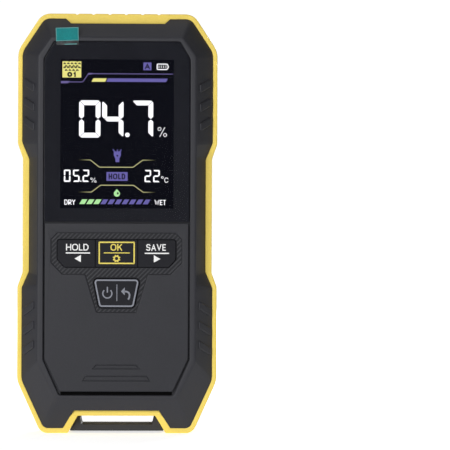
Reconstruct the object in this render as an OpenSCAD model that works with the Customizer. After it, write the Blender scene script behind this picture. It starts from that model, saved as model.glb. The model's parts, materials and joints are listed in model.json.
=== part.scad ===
// Pinless wood moisture meter with a colour display and a soft bumper.
// It stands on the bumper's feet: X runs across it, Y from the keys to the sensing face, Z up.
// The origin is under the middle of the case.

/* [Case] */
// Height over the bumper
case_h = 140; // [139:0.5:143]
// Width over the bumper at the grips
case_w = 66.5; // [66:0.5:70]
// Thickness from the key tops to the sensing face
case_t = 27.4; // [27.2:0.1:30]
// Wall thickness of the two shells
wall = 2; // [1.7:0.1:2.2]
// Radius of the four case screw positions' wells
well_r = 2.1; // [2:0.05:2.3]

/* [Bumper] */
// Depth of the bumper, front to back
bumper_depth = 12; // [11:0.5:13]
// Thickness of the bumper at the grips
bumper_lip = 1.5; // [1.4:0.05:2]
// Number of grooves across the top
groove_count = 6; // [3:1:6]
// Distance between those grooves
groove_pitch = 5.45; // [4:0.05:5.6]
// Height of the strap slot at the bottom
slot_h = 3.15; // [2.2:0.05:3.3]

/* [Display] */
// Width of the lit area
lcd_w = 36.72; // [30:0.01:38]
// Height of the lit area
lcd_h = 48.96; // [40:0.01:50]
// Height of the lit area's middle above the ground
lcd_z = 99.6; // [99:0.1:100]

/* [Keys] */
// Width of the row of three keys
row_w = 39; // [36:0.5:39.5]
// Height of that row
row_h = 9; // [8:0.1:9.2]
// Height of the row's middle above the ground
row_z = 60.1; // [59.8:0.1:60.2]
// Width of the middle key
ok_w = 14; // [12:0.5:15]
// How far a key moves when it is pressed
key_travel = 0.6; // [0.3:0.1:0.6]
// Gap between neighbouring keys
key_gap = 0.25; // [0.2:0.05:0.4]

/* [Back] */
// Side of the square sensing plate
sensor_side = 38.6; // [36:0.2:39]
// Height of its middle above the ground
sensor_z = 95.9; // [95:0.1:96.2]
// Outer radius of the torch surround
lamp_r = 5.4; // [5:0.1:5.6]
// Height of the torch above the ground
lamp_z = 122.6; // [122.2:0.1:122.8]

/* [Inside] */
// Width of the battery cell
battery_w = 34; // [28:1:36]
// Height of the battery cell
battery_h = 50; // [40:1:50]
// Thickness of the circuit board
board_t = 1.2; // [1:0.1:1.4]

/* [Hidden] */
$fn = 48;
steps = 4;                               // straight pieces in each rounded corner
far = 200;                               // reaches past everything in a cut
fit = 0.05;                              // gap between fixed pieces

charcoal = [0.25, 0.25, 0.27];
dark = [0.16, 0.16, 0.18];
black = [0.06, 0.06, 0.07];
yellow = [0.95, 0.84, 0.36];
board_green = [0.10, 0.30, 0.20];
steel = [0.75, 0.76, 0.78];

// Depths, front to back
key_y = -case_t / 2;                     // key tops
rim_y = key_y + 0.3;                     // front rim
panel_y = rim_y + 0.2;                   // faceplate
glass_y = rim_y + 0.4;                   // cover glass
pocket_y = rim_y + 1.5;                  // floor under glass and faceplate
inside_y = pocket_y + 1.1;               // back of the front wall
lip_y = bumper_depth / 2;                // the bumper's faces, either side of the seam
back_y = case_t / 2;                     // sensing face and rubber pads
plateau_y = back_y - 0.3;                // back of the case
rear_inside_y = plateau_y - 1.8;         // inside of the rear wall
flange_y = pocket_y + 0.15;              // key flanges
key_back_y = flange_y + 0.75;            // backs of the keys
membrane_y = key_back_y + key_travel + 0.3;
board_y = -4.5;                          // front face of the circuit board
board_back_y = board_y + board_t;
lcd_y = inside_y + 0.2;
backlight_y = lcd_y + 1.2;
frame_y = backlight_y + 1.2;

// Outlines in X and Z: the right half from the bottom up, each corner with its radius.
// A negative radius is a flat corner, cut back by that much.
grip_x = case_w / 2;
waist_x = grip_x - 1.7;
shell_x = grip_x - bumper_lip;
shell_waist_x = waist_x - 2.15;
notch_z = 6.05;                          // top of the bottom notch, under the bumper
notch_x = 12.85;
foot_x = 16.3;
rib_floor = 3.4;                         // depth of the top notch that the ribbed block fills

bumper_half = [
    [notch_x, notch_z, 0.6], [foot_x, 0, 0.8], [25.3, 0, 3.6], [grip_x, 17.5, 8],
    [grip_x, 48.9, 3], [waist_x, 53.6, 3], [waist_x, 91.7, 3], [grip_x, 96.5, 3],
    [grip_x, case_h - 12.4, 7.5], [25.2, case_h, 5]
];
shell_half = [
    [24.3, 1.7, 2.4], [shell_x, 17.8, 6.5], [shell_x, 48.6, 2.5], [shell_waist_x, 53.9, 2.5],
    [shell_waist_x, 91.4, 2.5], [shell_x, 97, 2.5], [shell_x, case_h - 12.9, 6],
    [24.35, case_h - 1.7, 3.4]
];
front_rim_x = 26.1;
rear_rim_x = 24.95;
front_rim_half = [
    [19.9, 12.2, 1.4], [front_rim_x, 24.4, 2], [front_rim_x, 48.6, -1.2], [front_rim_x, 53.9, -1.2],
    [front_rim_x, 91.4, -1.2], [front_rim_x, 97, -1.2], [front_rim_x, case_h - 14.7, 2.5],
    [21.6, case_h - 8.5, 1.2]
];
rear_rim_half = [
    [16.9, 12.9, 1.2], [rear_rim_x, 27.2, 2], [rear_rim_x, 48.6, -1.2], [rear_rim_x, 53.9, -1.2],
    [rear_rim_x, 91.4, -1.2], [rear_rim_x, 97, -1.2], [rear_rim_x, case_h - 18.4, 2.5],
    [18.3, case_h - 8.1, 1.2]
];
rear_octagon_half = [
    [16.9, 12.9, 1.2], [rear_rim_x, 27.2, 2], [rear_rim_x, case_h - 18.4, 2.5],
    [18.3, case_h - 8.1, 1.2]
];
pocket_half = [[18.9, 13.2, 1.2], [24.2, 25, 1.6], [24.2, case_h - 15.6, 2], [20.8, case_h - 9.8, 1]];
panel_half = [[18.7, 14.4, 1], [23.8, 25.3, 1.4], [23.8, 70.15, 0.5]];
glass_half = [[24, 70.6, 0.4], [24, case_h - 15.7, 1.8], [20.65, case_h - 10, 0.9]];
bridge_half = [[17.9, 1.7], [14.15, 8]];         // the bottom notch of the shells
crown_half = [[15.6, case_h - 3.5], [17.4, case_h - 1.7]];

// Openings and pieces in the face
window_w = lcd_w + 2;
window_h = lcd_h + 1.6;
strip = [
    [-row_w / 2 + 2.3, row_z - row_h / 2, 0.8], [row_w / 2 - 2.3, row_z - row_h / 2, 0.8],
    [row_w / 2, row_z - row_h / 2 + 2.6, 0.8], [row_w / 2, row_z + row_h / 2, 0.7],
    [-row_w / 2, row_z + row_h / 2, 0.7], [-row_w / 2, row_z - row_h / 2 + 2.6, 0.8]
];
power_z = 47;
power = [
    [-5.75, power_z - 4.7, 1.2], [5.75, power_z - 4.7, 1.2],
    [7.65, power_z + 4.7, 1.2], [-7.65, power_z + 4.7, 1.2]
];
// The sunk, hatched area round the keys
surround = [
    [-6.7, 40.4, 0.9], [6.7, 40.4, 0.9], [10.5, 53, 0.5], [18, 53, 0.9], [21.8, 57, 0.9],
    [21.8, 64.8, 0.9], [19.6, 67.1, 0.9], [-19.6, 67.1, 0.9], [-21.8, 64.8, 0.9],
    [-21.8, 57, 0.9], [-18, 53, 0.9], [-10.5, 53, 0.5]
];
surround_y = panel_y + 0.35;
// The two engraved bars under the power key: bottom, top, half widths there
engraved_bars = [[21.9, 23.4, 8, 6.6], [17.9, 19.7, 11.3, 10.2]];
lcd_outline = [-21.35, lcd_z + lcd_h / 2 + 2.2 - 59.8, 21.35, lcd_z + lcd_h / 2 + 2.2];

// Places on the back
upper_pad_x = 12.95;
upper_pad = [8.75, 6.7];
lower_pad = [[13.85, 17.6, 0.9], [17.2, 25.1, 0.9]];
screw_places = [[24.65, case_h - 11.3], [23.75, 16.2]];
board_screw_places = [[24.6, 108], [20, 26]];
board_half_w = 23.8;
usb_z = 72.65;
usb_y = board_back_y + 1.65;
usb_mouth_x = shell_waist_x - 0.1;
plug_hole = [3.7, 9.3];                  // through the shells
finger_hole = [6.4, 12.2];               // through the bumper
socket_size = [3.26, 8.94];
socket_wall = 0.35;
battery_z = 49;
battery_front_y = rear_inside_y - 5.7;
plug_x = -12;                            // where the battery lead meets the board
plug_z = 80;
switch_places = [[-13.3, row_z], [0, row_z], [13.3, row_z], [0, power_z]];

// Grip pads: [lowest inner corner, pitch, height, rise from inner to outer end, inner x, outer x]
front_pads_upper = [100.5, 6.4, 2.7, 2.6, 27.3, 31.2];
front_pads_lower = [28.75, 6.5, 2.75, -2.8, 27.3, 31.2];
rear_pads_upper = [100.1, 7.2, 3, 2.9, 26.6, 30.4];
rear_pads_lower = [28.2, 7.2, 3, -2.9, 26.6, 30.4];
pad_rise = 0.45;                         // how far the grip pads stand out of the flank

function unit(v) = v / norm(v);
function xz(p) = [p[0], p[1]];
function at(v, i) = v[(i + len(v)) % len(v)];
function both(half) = concat(half, [for (i = [len(half) - 1 : -1 : 0]) concat(-half[i][0],
    [for (k = [1 : len(half[i]) - 1]) half[i][k]])]);
function rect(x0, z0, x1, z1, r) = [[x0, z0, r], [x1, z0, r], [x1, z1, r], [x0, z1, r]];

// Points of the corner at b, between its neighbours a and c
function arc(a, b, c, r) = let (
    u = unit(a - b), v = unit(c - b), half = acos(u * v) / 2,
    centre = b + unit(u + v) * r / sin(half),
    first = b + u * r / tan(half) - centre, last = b + v * r / tan(half) - centre,
    from = atan2(first[1], first[0]),
    turn = (atan2(last[1], last[0]) - from + 540) % 360 - 180)
    [for (i = [0 : steps]) centre + r * [cos(from + turn * i / steps), sin(from + turn * i / steps)]];
function bevel(a, b, c, r) =
    [for (i = [0 : steps]) b + r * (unit(a - b) * (1 - i / steps) + unit(c - b) * i / steps)];
function corner(a, b, c, r) = r < 0 ? bevel(a, b, c, -r) : arc(a, b, c, r);
function rounded(v) =
    [for (i = [0 : len(v) - 1]) each corner(xz(at(v, i - 1)), xz(v[i]), xz(at(v, i + 1)), v[i][2])];

// The outline moved inwards by d, its radii with it
function inward(a, b) = let (d = unit(b - a)) [-d[1], d[0]];
function inset(v, d) = [for (i = [0 : len(v) - 1]) let (
    b = xz(v[i]), m = inward(xz(at(v, i - 1)), b), n = inward(b, xz(at(v, i + 1))),
    convex = m[0] * n[1] - m[1] * n[0] > 0,
    p = b + (m + n) * d / (1 + m * n))
    [p[0], p[1], v[i][2] < 0 ? v[i][2] : max(0.2, v[i][2] - (convex ? d : -d))]];
function mix(a, b, t) = [for (i = [0 : len(a) - 1])
    [a[i][0] * (1 - t) + b[i][0] * t, a[i][1] * (1 - t) + b[i][1] * t,
     a[i][2] < 0 ? a[i][2] : a[i][2] * (1 - t) + b[i][2] * t]];

// Outline of a strip of thickness t that follows a path with rounded corners
function path_points(path, r) = concat([path[0]],
    [for (i = [1 : len(path) - 2]) each arc(path[i - 1], path[i], path[i + 1], r)],
    [path[len(path) - 1]]);
function side_of(p, t) = [for (i = [0 : len(p) - 1]) let (
    m = inward(p[max(0, i - 1)], p[max(1, i)]),
    n = inward(p[min(i, len(p) - 2)], p[min(i + 1, len(p) - 1)])) p[i] + (m + n) * t / 2 / (1 + m * n)];
function strip_outline(p, t) = let (a = side_of(p, t), b = side_of(p, -t))
    concat(a, [for (i = [len(b) - 1 : -1 : 0]) b[i]]);

module slab(y0, y1) { translate([0, y1, 0]) rotate([90, 0, 0]) linear_extrude(y1 - y0) children(); }
module plate(y0, y1, outline) { slab(y0, y1) polygon(rounded(outline)); }
module rod(place, y0, y1, r) {
    translate([place[0], y1, place[1]]) rotate([90, 0, 0]) cylinder(h = y1 - y0, r = r);
}
module box(low, high) { translate(low) cube(high - low); }
module both_sides() { children(); mirror([1, 0, 0]) children(); }
// An outline in Y and Z, as wide as w along X
module across(x, w) { translate([x, 0, 0]) rotate([90, 0, 90]) linear_extrude(w) children(); }

// Solid through outlines of equal point counts, front to back: [[depth, outline], ...]
module loft(rings) {
    outlines = [for (r = rings) rounded(r[1])];
    n = len(outlines[0]);
    last = len(rings) - 1;
    points = [for (k = [0 : last]) for (p = outlines[k]) [p[0], rings[k][0], p[1]]];
    sides = [for (k = [0 : last - 1]) for (i = [0 : n - 1]) let (a = k * n + i, b = k * n + (i + 1) % n)
        each [[a, b, b + n], [a, b + n, a + n]]];
    polyhedron(points, concat([[for (i = [n - 1 : -1 : 0]) i]], sides,
        [[for (i = [0 : n - 1]) last * n + i]]));
}

// One shell's block between its flat end at end_y and the seam: straight to the bumper's face,
// then narrowing from outline a to outline b. Both outlines have the same corners.
module half_case(end_y, a, b) {
    s = sign(end_y);
    over = 0.5;
    rings = [[-s, a], [s * lip_y, a], [end_y + s * over, mix(b, a, -over / (abs(end_y) - lip_y))]];
    intersection() {
        loft(s > 0 ? rings : [rings[2], rings[1], rings[0]]);
        box([-far, min(0, end_y), -far], [far, max(0, end_y), far]);
    }
}

// The room inside a shell, down to its end wall at end_y; it stays clear of the top and the bottom
module room(end_y, a, b) {
    s = sign(end_y);
    over = 0.5;
    rings = [[-2 * s, a], [s * lip_y, a], [end_y + s * over, mix(b, a, -over / (abs(end_y) - lip_y))]];
    intersection() {
        loft(s > 0 ? rings : [rings[2], rings[1], rings[0]]);
        box([-far, min(-s, end_y), 9.8], [far, max(-s, end_y), case_h - 5.7]);
    }
}

// Three slanted grip pads on each flank, cut to a skin that stands a little proud
module grip_pads(rows, y0, y1) {
    for (row = rows) for (i = [0 : 2]) both_sides() slab(y0, y1) let (z = row[0] + i * row[1])
        polygon([[row[4], z], [row[5], z + row[3]], [row[5], z + row[3] + row[2]], [row[4], z + row[2]]]);
}

// A line from a to b, carried on as far again
function onwards(a, b) = [a, b + (b - a)];

// The notches at the bottom and the top of both shells
module notches() {
    slab(-far, far) polygon(both(onwards(bridge_half[1], bridge_half[0])));
    slab(-far, far) polygon(both(onwards(crown_half[0], crown_half[1])));
}

module lug_pockets() {
    for (s = [-1, 1]) box([min(s * 13, s * 20.2), -2.55, 2.25], [max(s * 13, s * 20.2), 2.55, 4.35]);
}

module bumper_tongue(gap) {
    difference() {
        plate(-1 - gap, 1 + gap, inset(both(shell_half), -0.6));
        plate(-far, far, inset(both(shell_half), 1.1 + gap));
    }
}

// A rounded slot along X for the charging plug, its size given as [depth, height]
module usb_cut(size, x0, x1) {
    half = size / 2;
    translate([x0, usb_y, usb_z]) rotate([90, 0, 90]) linear_extrude(x1 - x0)
        polygon(rounded(rect(-half[0], -half[1], half[0], half[1], half[0] - 0.05)));
}

module front_shell() {
    shell = both(shell_half);
    rim = both(front_rim_half);
    inner = inset(mix(rim, shell, (inside_y - rim_y) / (-lip_y - rim_y)), wall);
    color(charcoal) difference() {
        union() {
            half_case(rim_y, shell, rim);
            intersection() {
                grip_pads([front_pads_upper, front_pads_lower], rim_y + 0.4, -lip_y - 0.3);
                half_case(rim_y, inset(shell, -pad_rise), inset(rim, -pad_rise));
            }
        }
        difference() {
            room(inside_y, inset(shell, wall), inner);
            for (p = screw_places) both_sides() rod(p, rim_y, 0, 2.9);
            for (p = board_screw_places) both_sides() rod(p, rim_y, board_y, 1.9);
        }
        plate(rim_y - 1, pocket_y, both(pocket_half));
        plate(rim_y, 0, rect(-window_w / 2, lcd_z - window_h / 2, window_w / 2, lcd_z + window_h / 2, 0.5));
        plate(rim_y, inside_y + 0.5, rect(-row_w / 2 - 1.2, row_z - row_h / 2 - 1.2,
            row_w / 2 + 1.2, row_z + row_h / 2 + 1.2, 0.5));
        plate(rim_y, inside_y + 0.5, inset(power, -1.2));
        notches();
        bumper_tongue(fit);
        for (p = screw_places) both_sides() rod(p, -9, 1, 1);
        for (p = board_screw_places) both_sides() rod(p, -10, 0, 0.75);
        usb_cut(plug_hole, shell_waist_x - 3, far);
        lug_pockets();
    }
}

module rear_shell() {
    shell = both(shell_half);
    rim = both(rear_rim_half);
    octagon = both(rear_octagon_half);
    inner = inset(mix(rim, shell, (plateau_y - rear_inside_y) / (plateau_y - lip_y)), wall);
    color(charcoal) difference() {
        union() {
            half_case(plateau_y, shell, rim);
            intersection() {
                grip_pads([rear_pads_upper, rear_pads_lower], lip_y + 0.3, plateau_y - 0.4);
                half_case(plateau_y, inset(shell, -pad_rise), inset(rim, -pad_rise));
            }
        }
        difference() {
            room(rear_inside_y, inset(shell, wall), inner);
            for (p = screw_places) both_sides() rod(p, 0, plateau_y, well_r + 1.3);
        }
        difference() {
            plate(plateau_y - 1, far, inset(octagon, 1.4));
            plate(0, far, inset(octagon, 2.55));
        }
        sensor_pocket(sensor_side / 2 + 0.35, plateau_y - 1.05);
        rod([0, lamp_z], 0, far, lamp_r + fit);
        both_sides() {
            pad_recess(0.97, 1.1, plateau_y - 0.25);
            pad_recess(0.15, 0, back_y - 1.2);
        }
        plate(plateau_y - 0.25, far, inset(both(lower_pad), -1));
        plate(back_y - 1.2, far, inset(both(lower_pad), -0.15));
        notches();
        bumper_tongue(fit);
        for (p = screw_places) both_sides() {
            rod(p, -1, far, 1.15);
            rod(p, 5, far, well_r);
        }
        usb_cut(plug_hole, shell_waist_x - 3, far);
        lug_pockets();
    }
}

module sensor_pocket(half, y) {
    plate(y, far, rect(-half, sensor_z - half, half, sensor_z + half, 0.9));
}

module pad_recess(margin, extra_r, y) {
    plate(y, far, rect(upper_pad_x - upper_pad[0] / 2 - margin, lamp_z - upper_pad[1] / 2 - margin,
        upper_pad_x + upper_pad[0] / 2 + margin, lamp_z + upper_pad[1] / 2 + margin, 1.1 + extra_r));
}

module bumper_band() {
    crown = [[crown_half[0][0] - fit, crown_half[0][1] + fit],
        [crown_half[1][0] - fit, crown_half[1][1] + fit], [crown_half[1][0] - fit, case_h]];
    // a little inside the shells' bottom notch, and on its way down flush with their slopes
    bridge = [[foot_x - 1, 1.75], [17.85, 1.75], [14.1, 7.95]];
    bridge_side = [[-lip_y, 0], [-lip_y, 1.7], [-9, 6], [-9, 8], [8.8, 8], [8.8, 6], [lip_y, 1.7], [lip_y, 0]];
    color(yellow) difference() {
        union() {
            difference() {
                plate(-lip_y, lip_y, both(bumper_half));
                difference() {
                    plate(-far, far, inset(both(shell_half), -fit));
                    slab(-far, far) polygon(both(concat([[17.85, 0]], bridge)));
                    slab(-far, far) polygon(both(crown));
                }
            }
            intersection() {
                slab(-far, far) difference() {
                    polygon(both(bridge));
                    polygon(both([[foot_x, 0], [notch_x, notch_z]]));
                }
                across(-far, 2 * far) polygon(bridge_side);
            }
            slab(-lip_y - 1, lip_y + 1) polygon(both(crown));
            bumper_tongue(0);
        }
        slab(-far, far) polygon(both([[foot_x, 0], [notch_x, notch_z]]));
        for (i = [0 : groove_count - 1])
            rod([(i - (groove_count - 1) / 2) * groove_pitch, case_h + 0.33], -far, far, 0.7);
        usb_cut(finger_hole, shell_waist_x - 3, far);
        lug_pockets();
    }
}

module lanyard_bar() {
    bar_top = notch_z - slot_h;
    slope = (foot_x - notch_x) / notch_z;
    bottom_z = 0.7;
    horn_z = notch_z - 0.2;
    bar = [
        [foot_x - bottom_z * slope - fit, bottom_z], [foot_x - horn_z * slope - fit, horn_z],
        [foot_x - horn_z * slope - 0.4, horn_z], [11.8, bar_top]
    ];
    color(dark) {
        slab(-5, 5) polygon(both(bar));
        for (s = [-1, 1]) box([min(s * 13.5, s * 20), -2.45, 2.35], [max(s * 13.5, s * 20), 2.45, 4.25]);
    }
}

module front_panel() {
    color(charcoal) difference() {
        plate(panel_y, pocket_y - fit / 2, both(panel_half));
        plate(-far, surround_y, surround);
        plate(-far, 0, inset(strip, -0.15));
        plate(-far, 0, inset(power, -0.15));
        for (b = engraved_bars) slab(-far, panel_y + 0.4) difference() {
            polygon(both([[b[2], b[0]], [b[3], b[1]]]));
            polygon(both([[b[2] - 0.6, b[0] + 0.3], [b[3] - 0.45, b[1] - 0.3]]));
        }
    }
}

module screen_lens() { color(black) plate(glass_y, pocket_y - 0.15, both(glass_half)); }

module screen_tape() {
    color(dark) difference() {
        plate(pocket_y - 0.14, pocket_y - 0.01, inset(both(glass_half), 0.3));
        plate(-far, 0, rect(-window_w / 2 - 0.3, lcd_z - window_h / 2 - 0.3,
            window_w / 2 + 0.3, lcd_z + window_h / 2 + 0.3, 0.5));
    }
}

module screen_film() {
    color([0.8, 0.85, 0.9, 0.2]) plate(glass_y - 0.11, glass_y - 0.01, inset(both(glass_half), 0.4));
}

module film_tab() {
    film_y = glass_y - 0.12;
    low = case_h - 11.3;
    color([0.11, 0.55, 0.51]) across(-20.1, 7.4) polygon([
        [film_y, low], [film_y - 0.12, low], [rim_y - 0.18, low + 1.6], [rim_y - 0.28, low + 6],
        [rim_y - 0.14, low + 6], [rim_y - 0.04, low + 1.6]
    ]);
}

module lcd_panel() {
    color(black) box([lcd_outline[0], lcd_y, lcd_outline[1]], [lcd_outline[2], backlight_y, lcd_outline[3]]);
}

module lcd_backlight() {
    color([0.9, 0.9, 0.88]) box([lcd_outline[0] + 0.3, backlight_y + 0.01, lcd_outline[1] + 3],
        [lcd_outline[2] - 0.3, frame_y, lcd_outline[3]]);
}

// Open frame between the backlight and the board, with a gap for the ribbon at the bottom
module display_frame() {
    color(steel) difference() {
        box([lcd_outline[0], frame_y + 0.01, lcd_outline[1] + 1],
            [lcd_outline[2], board_y - 0.01, lcd_outline[3] - 2]);
        box([lcd_outline[0] + 2, -far, lcd_outline[1] + 5], [lcd_outline[2] - 2, far, lcd_outline[3] - 4]);
        box([-7, -far, 0], [7, far, lcd_outline[1] + 6]);
    }
}

module display_ribbon() {
    z = lcd_outline[1];
    path = path_points([[backlight_y + 0.3, z + 2.8], [backlight_y + 0.3, z - 1.3],
        [board_y - 0.15, z - 1.3], [board_y - 0.15, z + 3]], 0.9);
    color([0.75, 0.5, 0.2]) across(-6, 12) polygon(strip_outline(path, 0.2));
}

// One of the row's outer keys, on the right
module side_key() {
    x0 = ok_w / 2 + key_gap / 2;
    x1 = row_w / 2;
    z0 = row_z - row_h / 2;
    z1 = row_z + row_h / 2;
    color(dark) {
        plate(key_y, flange_y, [[x0, z0, 0.25], [x1 - 2.3, z0, 0.8], [x1, z0 + 2.6, 0.8], [x1, z1, 0.7],
            [x0, z1, 0.25]]);
        plate(flange_y, key_back_y, rect(x0, z0 - 0.8, x1 + 0.8, z1 + 0.8, 0.3));
    }
}

module save_key() { side_key(); }
module hold_key() { mirror([1, 0, 0]) side_key(); }

module ok_key() {
    x = ok_w / 2 - key_gap / 2;
    z0 = row_z - row_h / 2;
    z1 = row_z + row_h / 2;
    color(dark) {
        plate(key_y, flange_y, rect(-x, z0, x, z1, 0.25));
        plate(flange_y, key_back_y, rect(-x, z0 - 0.8, x, z1 + 0.8, 0.3));
    }
}

module power_key() {
    color(dark) {
        plate(key_y, flange_y, power);
        plate(flange_y, key_back_y, inset(power, -0.8));
    }
}

// Silicone sheet behind the keys, with a low wall round it and a pad over each switch
module keypad_membrane() {
    outer = rect(-21.3, 39.8, 21.3, lcd_outline[1] - 0.05, 0.8);
    color([0.35, 0.35, 0.37]) {
        difference() {
            plate(inside_y + 0.01, membrane_y + 0.4, outer);
            plate(-far, membrane_y, inset(outer, 0.5));
        }
        for (p = switch_places) rod(p, membrane_y + 0.4, membrane_y + 0.65, 2.2);
    }
}

module key_switches() {
    top_y = membrane_y + 0.7;
    color(steel) for (p = switch_places) {
        box([p[0] - 3, top_y + 0.7, p[1] - 3], [p[0] + 3, board_y - 0.01, p[1] + 3]);
        rod(p, top_y, top_y + 0.7, 1.75);
    }
}

module main_board() {
    color(board_green) difference() {
        union() {
            plate(board_y, board_back_y, rect(-board_half_w, 20.5, board_half_w, case_h - 15.5, 1.5));
            plate(board_y, board_back_y, rect(-27, 104, 27, 112, 1.5));
            plate(board_y, board_back_y, rect(0, usb_z - 6, 27, usb_z + 6, 0.8));
        }
        for (p = board_screw_places) both_sides() rod(p, -far, far, 1.1);
    }
}

// Chips and connectors: [x, z, width, height, thickness], the last two on the board's front
module board_chips() {
    back = [[-7, 60, 9, 9, 1.2], [8, 60, 6, 5, 1.6], [3, 96, 5, 5, 1], [14, 84, 4, 4, 1],
        [-15, 100, 5, 3, 1.1], [13, 66, 3, 3, 0.9]];
    front = [[0, 72, 13, 2.2, 1.2], [-12, 88, 4, 4, 0.8]];
    color(black) {
        for (c = back) box([c[0] - c[2] / 2, board_back_y + 0.01, c[1] - c[3] / 2],
            [c[0] + c[2] / 2, board_back_y + c[4], c[1] + c[3] / 2]);
        for (c = front) box([c[0] - c[2] / 2, board_y - c[4], c[1] - c[3] / 2],
            [c[0] + c[2] / 2, board_y - 0.01, c[1] + c[3] / 2]);
    }
}

module board_screws() {
    color(steel) for (p = board_screw_places) both_sides() {
        rod(p, board_y - 4, board_back_y, 0.72);
        difference() {
            rod(p, board_back_y + 0.01, board_back_y + 1.2, 1.7);
            rod(p, board_back_y + 0.5, far, 0.7, $fn = 6);
        }
    }
}

module buzzer() {
    color(black) difference() {
        rod([12, 44], board_back_y + 0.01, board_back_y + 4, 4.75);
        rod([12, 44], board_back_y + 2.5, far, 1);
    }
}

module usb_socket() {
    color(steel) difference() {
        usb_cut(socket_size, usb_mouth_x - 6.8, usb_mouth_x);
        difference() {
            usb_cut(socket_size - 2 * [socket_wall, socket_wall], usb_mouth_x - 6, far);
            box([0, usb_y - 0.35, usb_z - 3.3], [usb_mouth_x - 1, usb_y + 0.35, usb_z + 3.3]);
        }
    }
}

module thermistor() {
    color([0.2, 0.25, 0.5]) {
        translate([16, board_back_y + 1, 116.5]) cylinder(h = 3, r = 0.8);
        translate([16, board_back_y + 1, 115]) cylinder(h = 6, r = 0.2);
    }
}

module battery_cell() {
    color([0.7, 0.72, 0.74]) plate(battery_front_y, rear_inside_y - 0.3,
        rect(-battery_w / 2, battery_z - battery_h / 2, battery_w / 2, battery_z + battery_h / 2, 1.5));
}

module battery_tape() {
    color([0.9, 0.9, 0.8]) for (s = [-1, 1]) box([s * 9 - 3, rear_inside_y - 0.29, battery_z - 20],
        [s * 9 + 3, rear_inside_y - 0.01, battery_z + 20]);
}

module battery_plug() {
    color([0.92, 0.9, 0.85]) box([plug_x - 3, board_back_y + 0.01, plug_z - 2],
        [plug_x + 3, board_back_y + 4.5, plug_z + 2]);
}

// A round wire through points in space, with eight sides
module wire(path, r) {
    n = 8;
    rings = [for (i = [0 : len(path) - 1]) let (
        d = unit(path[min(i + 1, len(path) - 1)] - path[max(i - 1, 0)]),
        u = unit(cross(d, [1, 0.01, 0])), v = cross(d, u))
        [for (k = [0 : n - 1]) path[i] + r * (cos(k * 360 / n) * u + sin(k * 360 / n) * v)]];
    last = len(path) - 1;
    sides = [for (k = [0 : last - 1]) for (i = [0 : n - 1]) let (a = k * n + i, b = k * n + (i + 1) % n)
        each [[a, a + n, b + n], [a, b + n, b]]];
    polyhedron([for (ring = rings) each ring], concat([[for (i = [0 : n - 1]) i]], sides,
        [[for (i = [n - 1 : -1 : 0]) last * n + i]]));
}

// The battery's two wires: up out of its top edge, then forward into the plug
module battery_lead() {
    start = [-9, rear_inside_y - 3, battery_z + battery_h / 2 + 0.02];
    end = [plug_x, board_back_y + 4.52, plug_z];
    route = [for (i = [0 : 10]) let (t = i / 10)
        pow(1 - t, 3) * start + 3 * pow(1 - t, 2) * t * (start + [0, 0, 6])
        + 3 * (1 - t) * t * t * (end + [0, 6, 0]) + pow(t, 3) * end];
    for (s = [-1, 1]) color(s < 0 ? "red" : "black") translate([s * 1.1, 0, 0]) wire(route, 0.65);
}

module sensor_cover() {
    half = sensor_side / 2;
    color(black) plate(plateau_y - 0.9, back_y, rect(-half, sensor_z - half, half, sensor_z + half, 0.6));
}

module sensor_tape() {
    half = sensor_side / 2 - 0.3;
    color(dark) difference() {
        plate(plateau_y - 1.04, plateau_y - 0.91, rect(-half, sensor_z - half, half, sensor_z + half, 0.6));
        plate(-far, far, rect(-half + 2.5, sensor_z - half + 2.5, half - 2.5, sensor_z + half - 2.5, 0.6));
    }
}

module sensor_board() {
    half = sensor_side / 2 - 1;
    color([0.72, 0.45, 0.2]) plate(rear_inside_y - 1.1, rear_inside_y - 0.1,
        rect(-half, sensor_z - half, half, sensor_z + half, 1));
}

module sensor_ribbon() {
    path = path_points([[board_back_y + 0.12, 84], [board_back_y + 0.12, 91],
        [rear_inside_y - 1.22, 97], [rear_inside_y - 1.22, 104]], 2);
    color([0.85, 0.85, 0.82]) across(-6, 8) polygon(strip_outline(path, 0.2));
}

module lamp_bezel() {
    mouth = plateau_y;
    // radius and depth, turned about the torch's axis
    profile = [
        [2.62, rear_inside_y - 2.2], [5.2, rear_inside_y - 2.2], [6.4, rear_inside_y - 1.2],
        [6.4, rear_inside_y - 0.02], [lamp_r, rear_inside_y - 0.02], [lamp_r, mouth],
        [lamp_r - 0.45, mouth], [2.62, mouth - 2.6]
    ];
    color(black) translate([0, 0, lamp_z]) rotate([-90, 0, 0]) rotate_extrude() polygon(profile);
}

module lamp_led() {
    tip_y = plateau_y - 0.8;
    color([0.9, 0.88, 0.7]) {
        rod([0, lamp_z], rear_inside_y - 4, tip_y - 2.5, 2.5);
        rod([0, lamp_z], rear_inside_y - 4.8, rear_inside_y - 4, 2.9);
        translate([0, tip_y - 2.5, lamp_z]) rotate([-90, 0, 0]) rotate_extrude()
            intersection() { circle(r = 2.5); square(3); }
        for (s = [-1, 1]) rod([s * 1.27, lamp_z], board_back_y + 0.01, rear_inside_y - 4.8, 0.25);
    }
}

// One upper rubber pad, on the right
module upper_rear_pad() {
    color(black) plate(back_y - 1.19, back_y, rect(upper_pad_x - upper_pad[0] / 2, lamp_z - upper_pad[1] / 2,
        upper_pad_x + upper_pad[0] / 2, lamp_z + upper_pad[1] / 2, 1.1));
}

module rear_pad_right() { upper_rear_pad(); }
module rear_pad_left() { mirror([1, 0, 0]) upper_rear_pad(); }
module rear_pad_lower() { color(black) plate(back_y - 1.19, back_y, both(lower_pad)); }

module case_screws() {
    color(black) for (p = screw_places) both_sides() {
        rod(p, -8, 5.02, 0.98);
        difference() {
            rod(p, 5.01, 6.7, 1.95);
            rod(p, 5.8, far, 0.95, $fn = 6);
        }
    }
}

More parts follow.
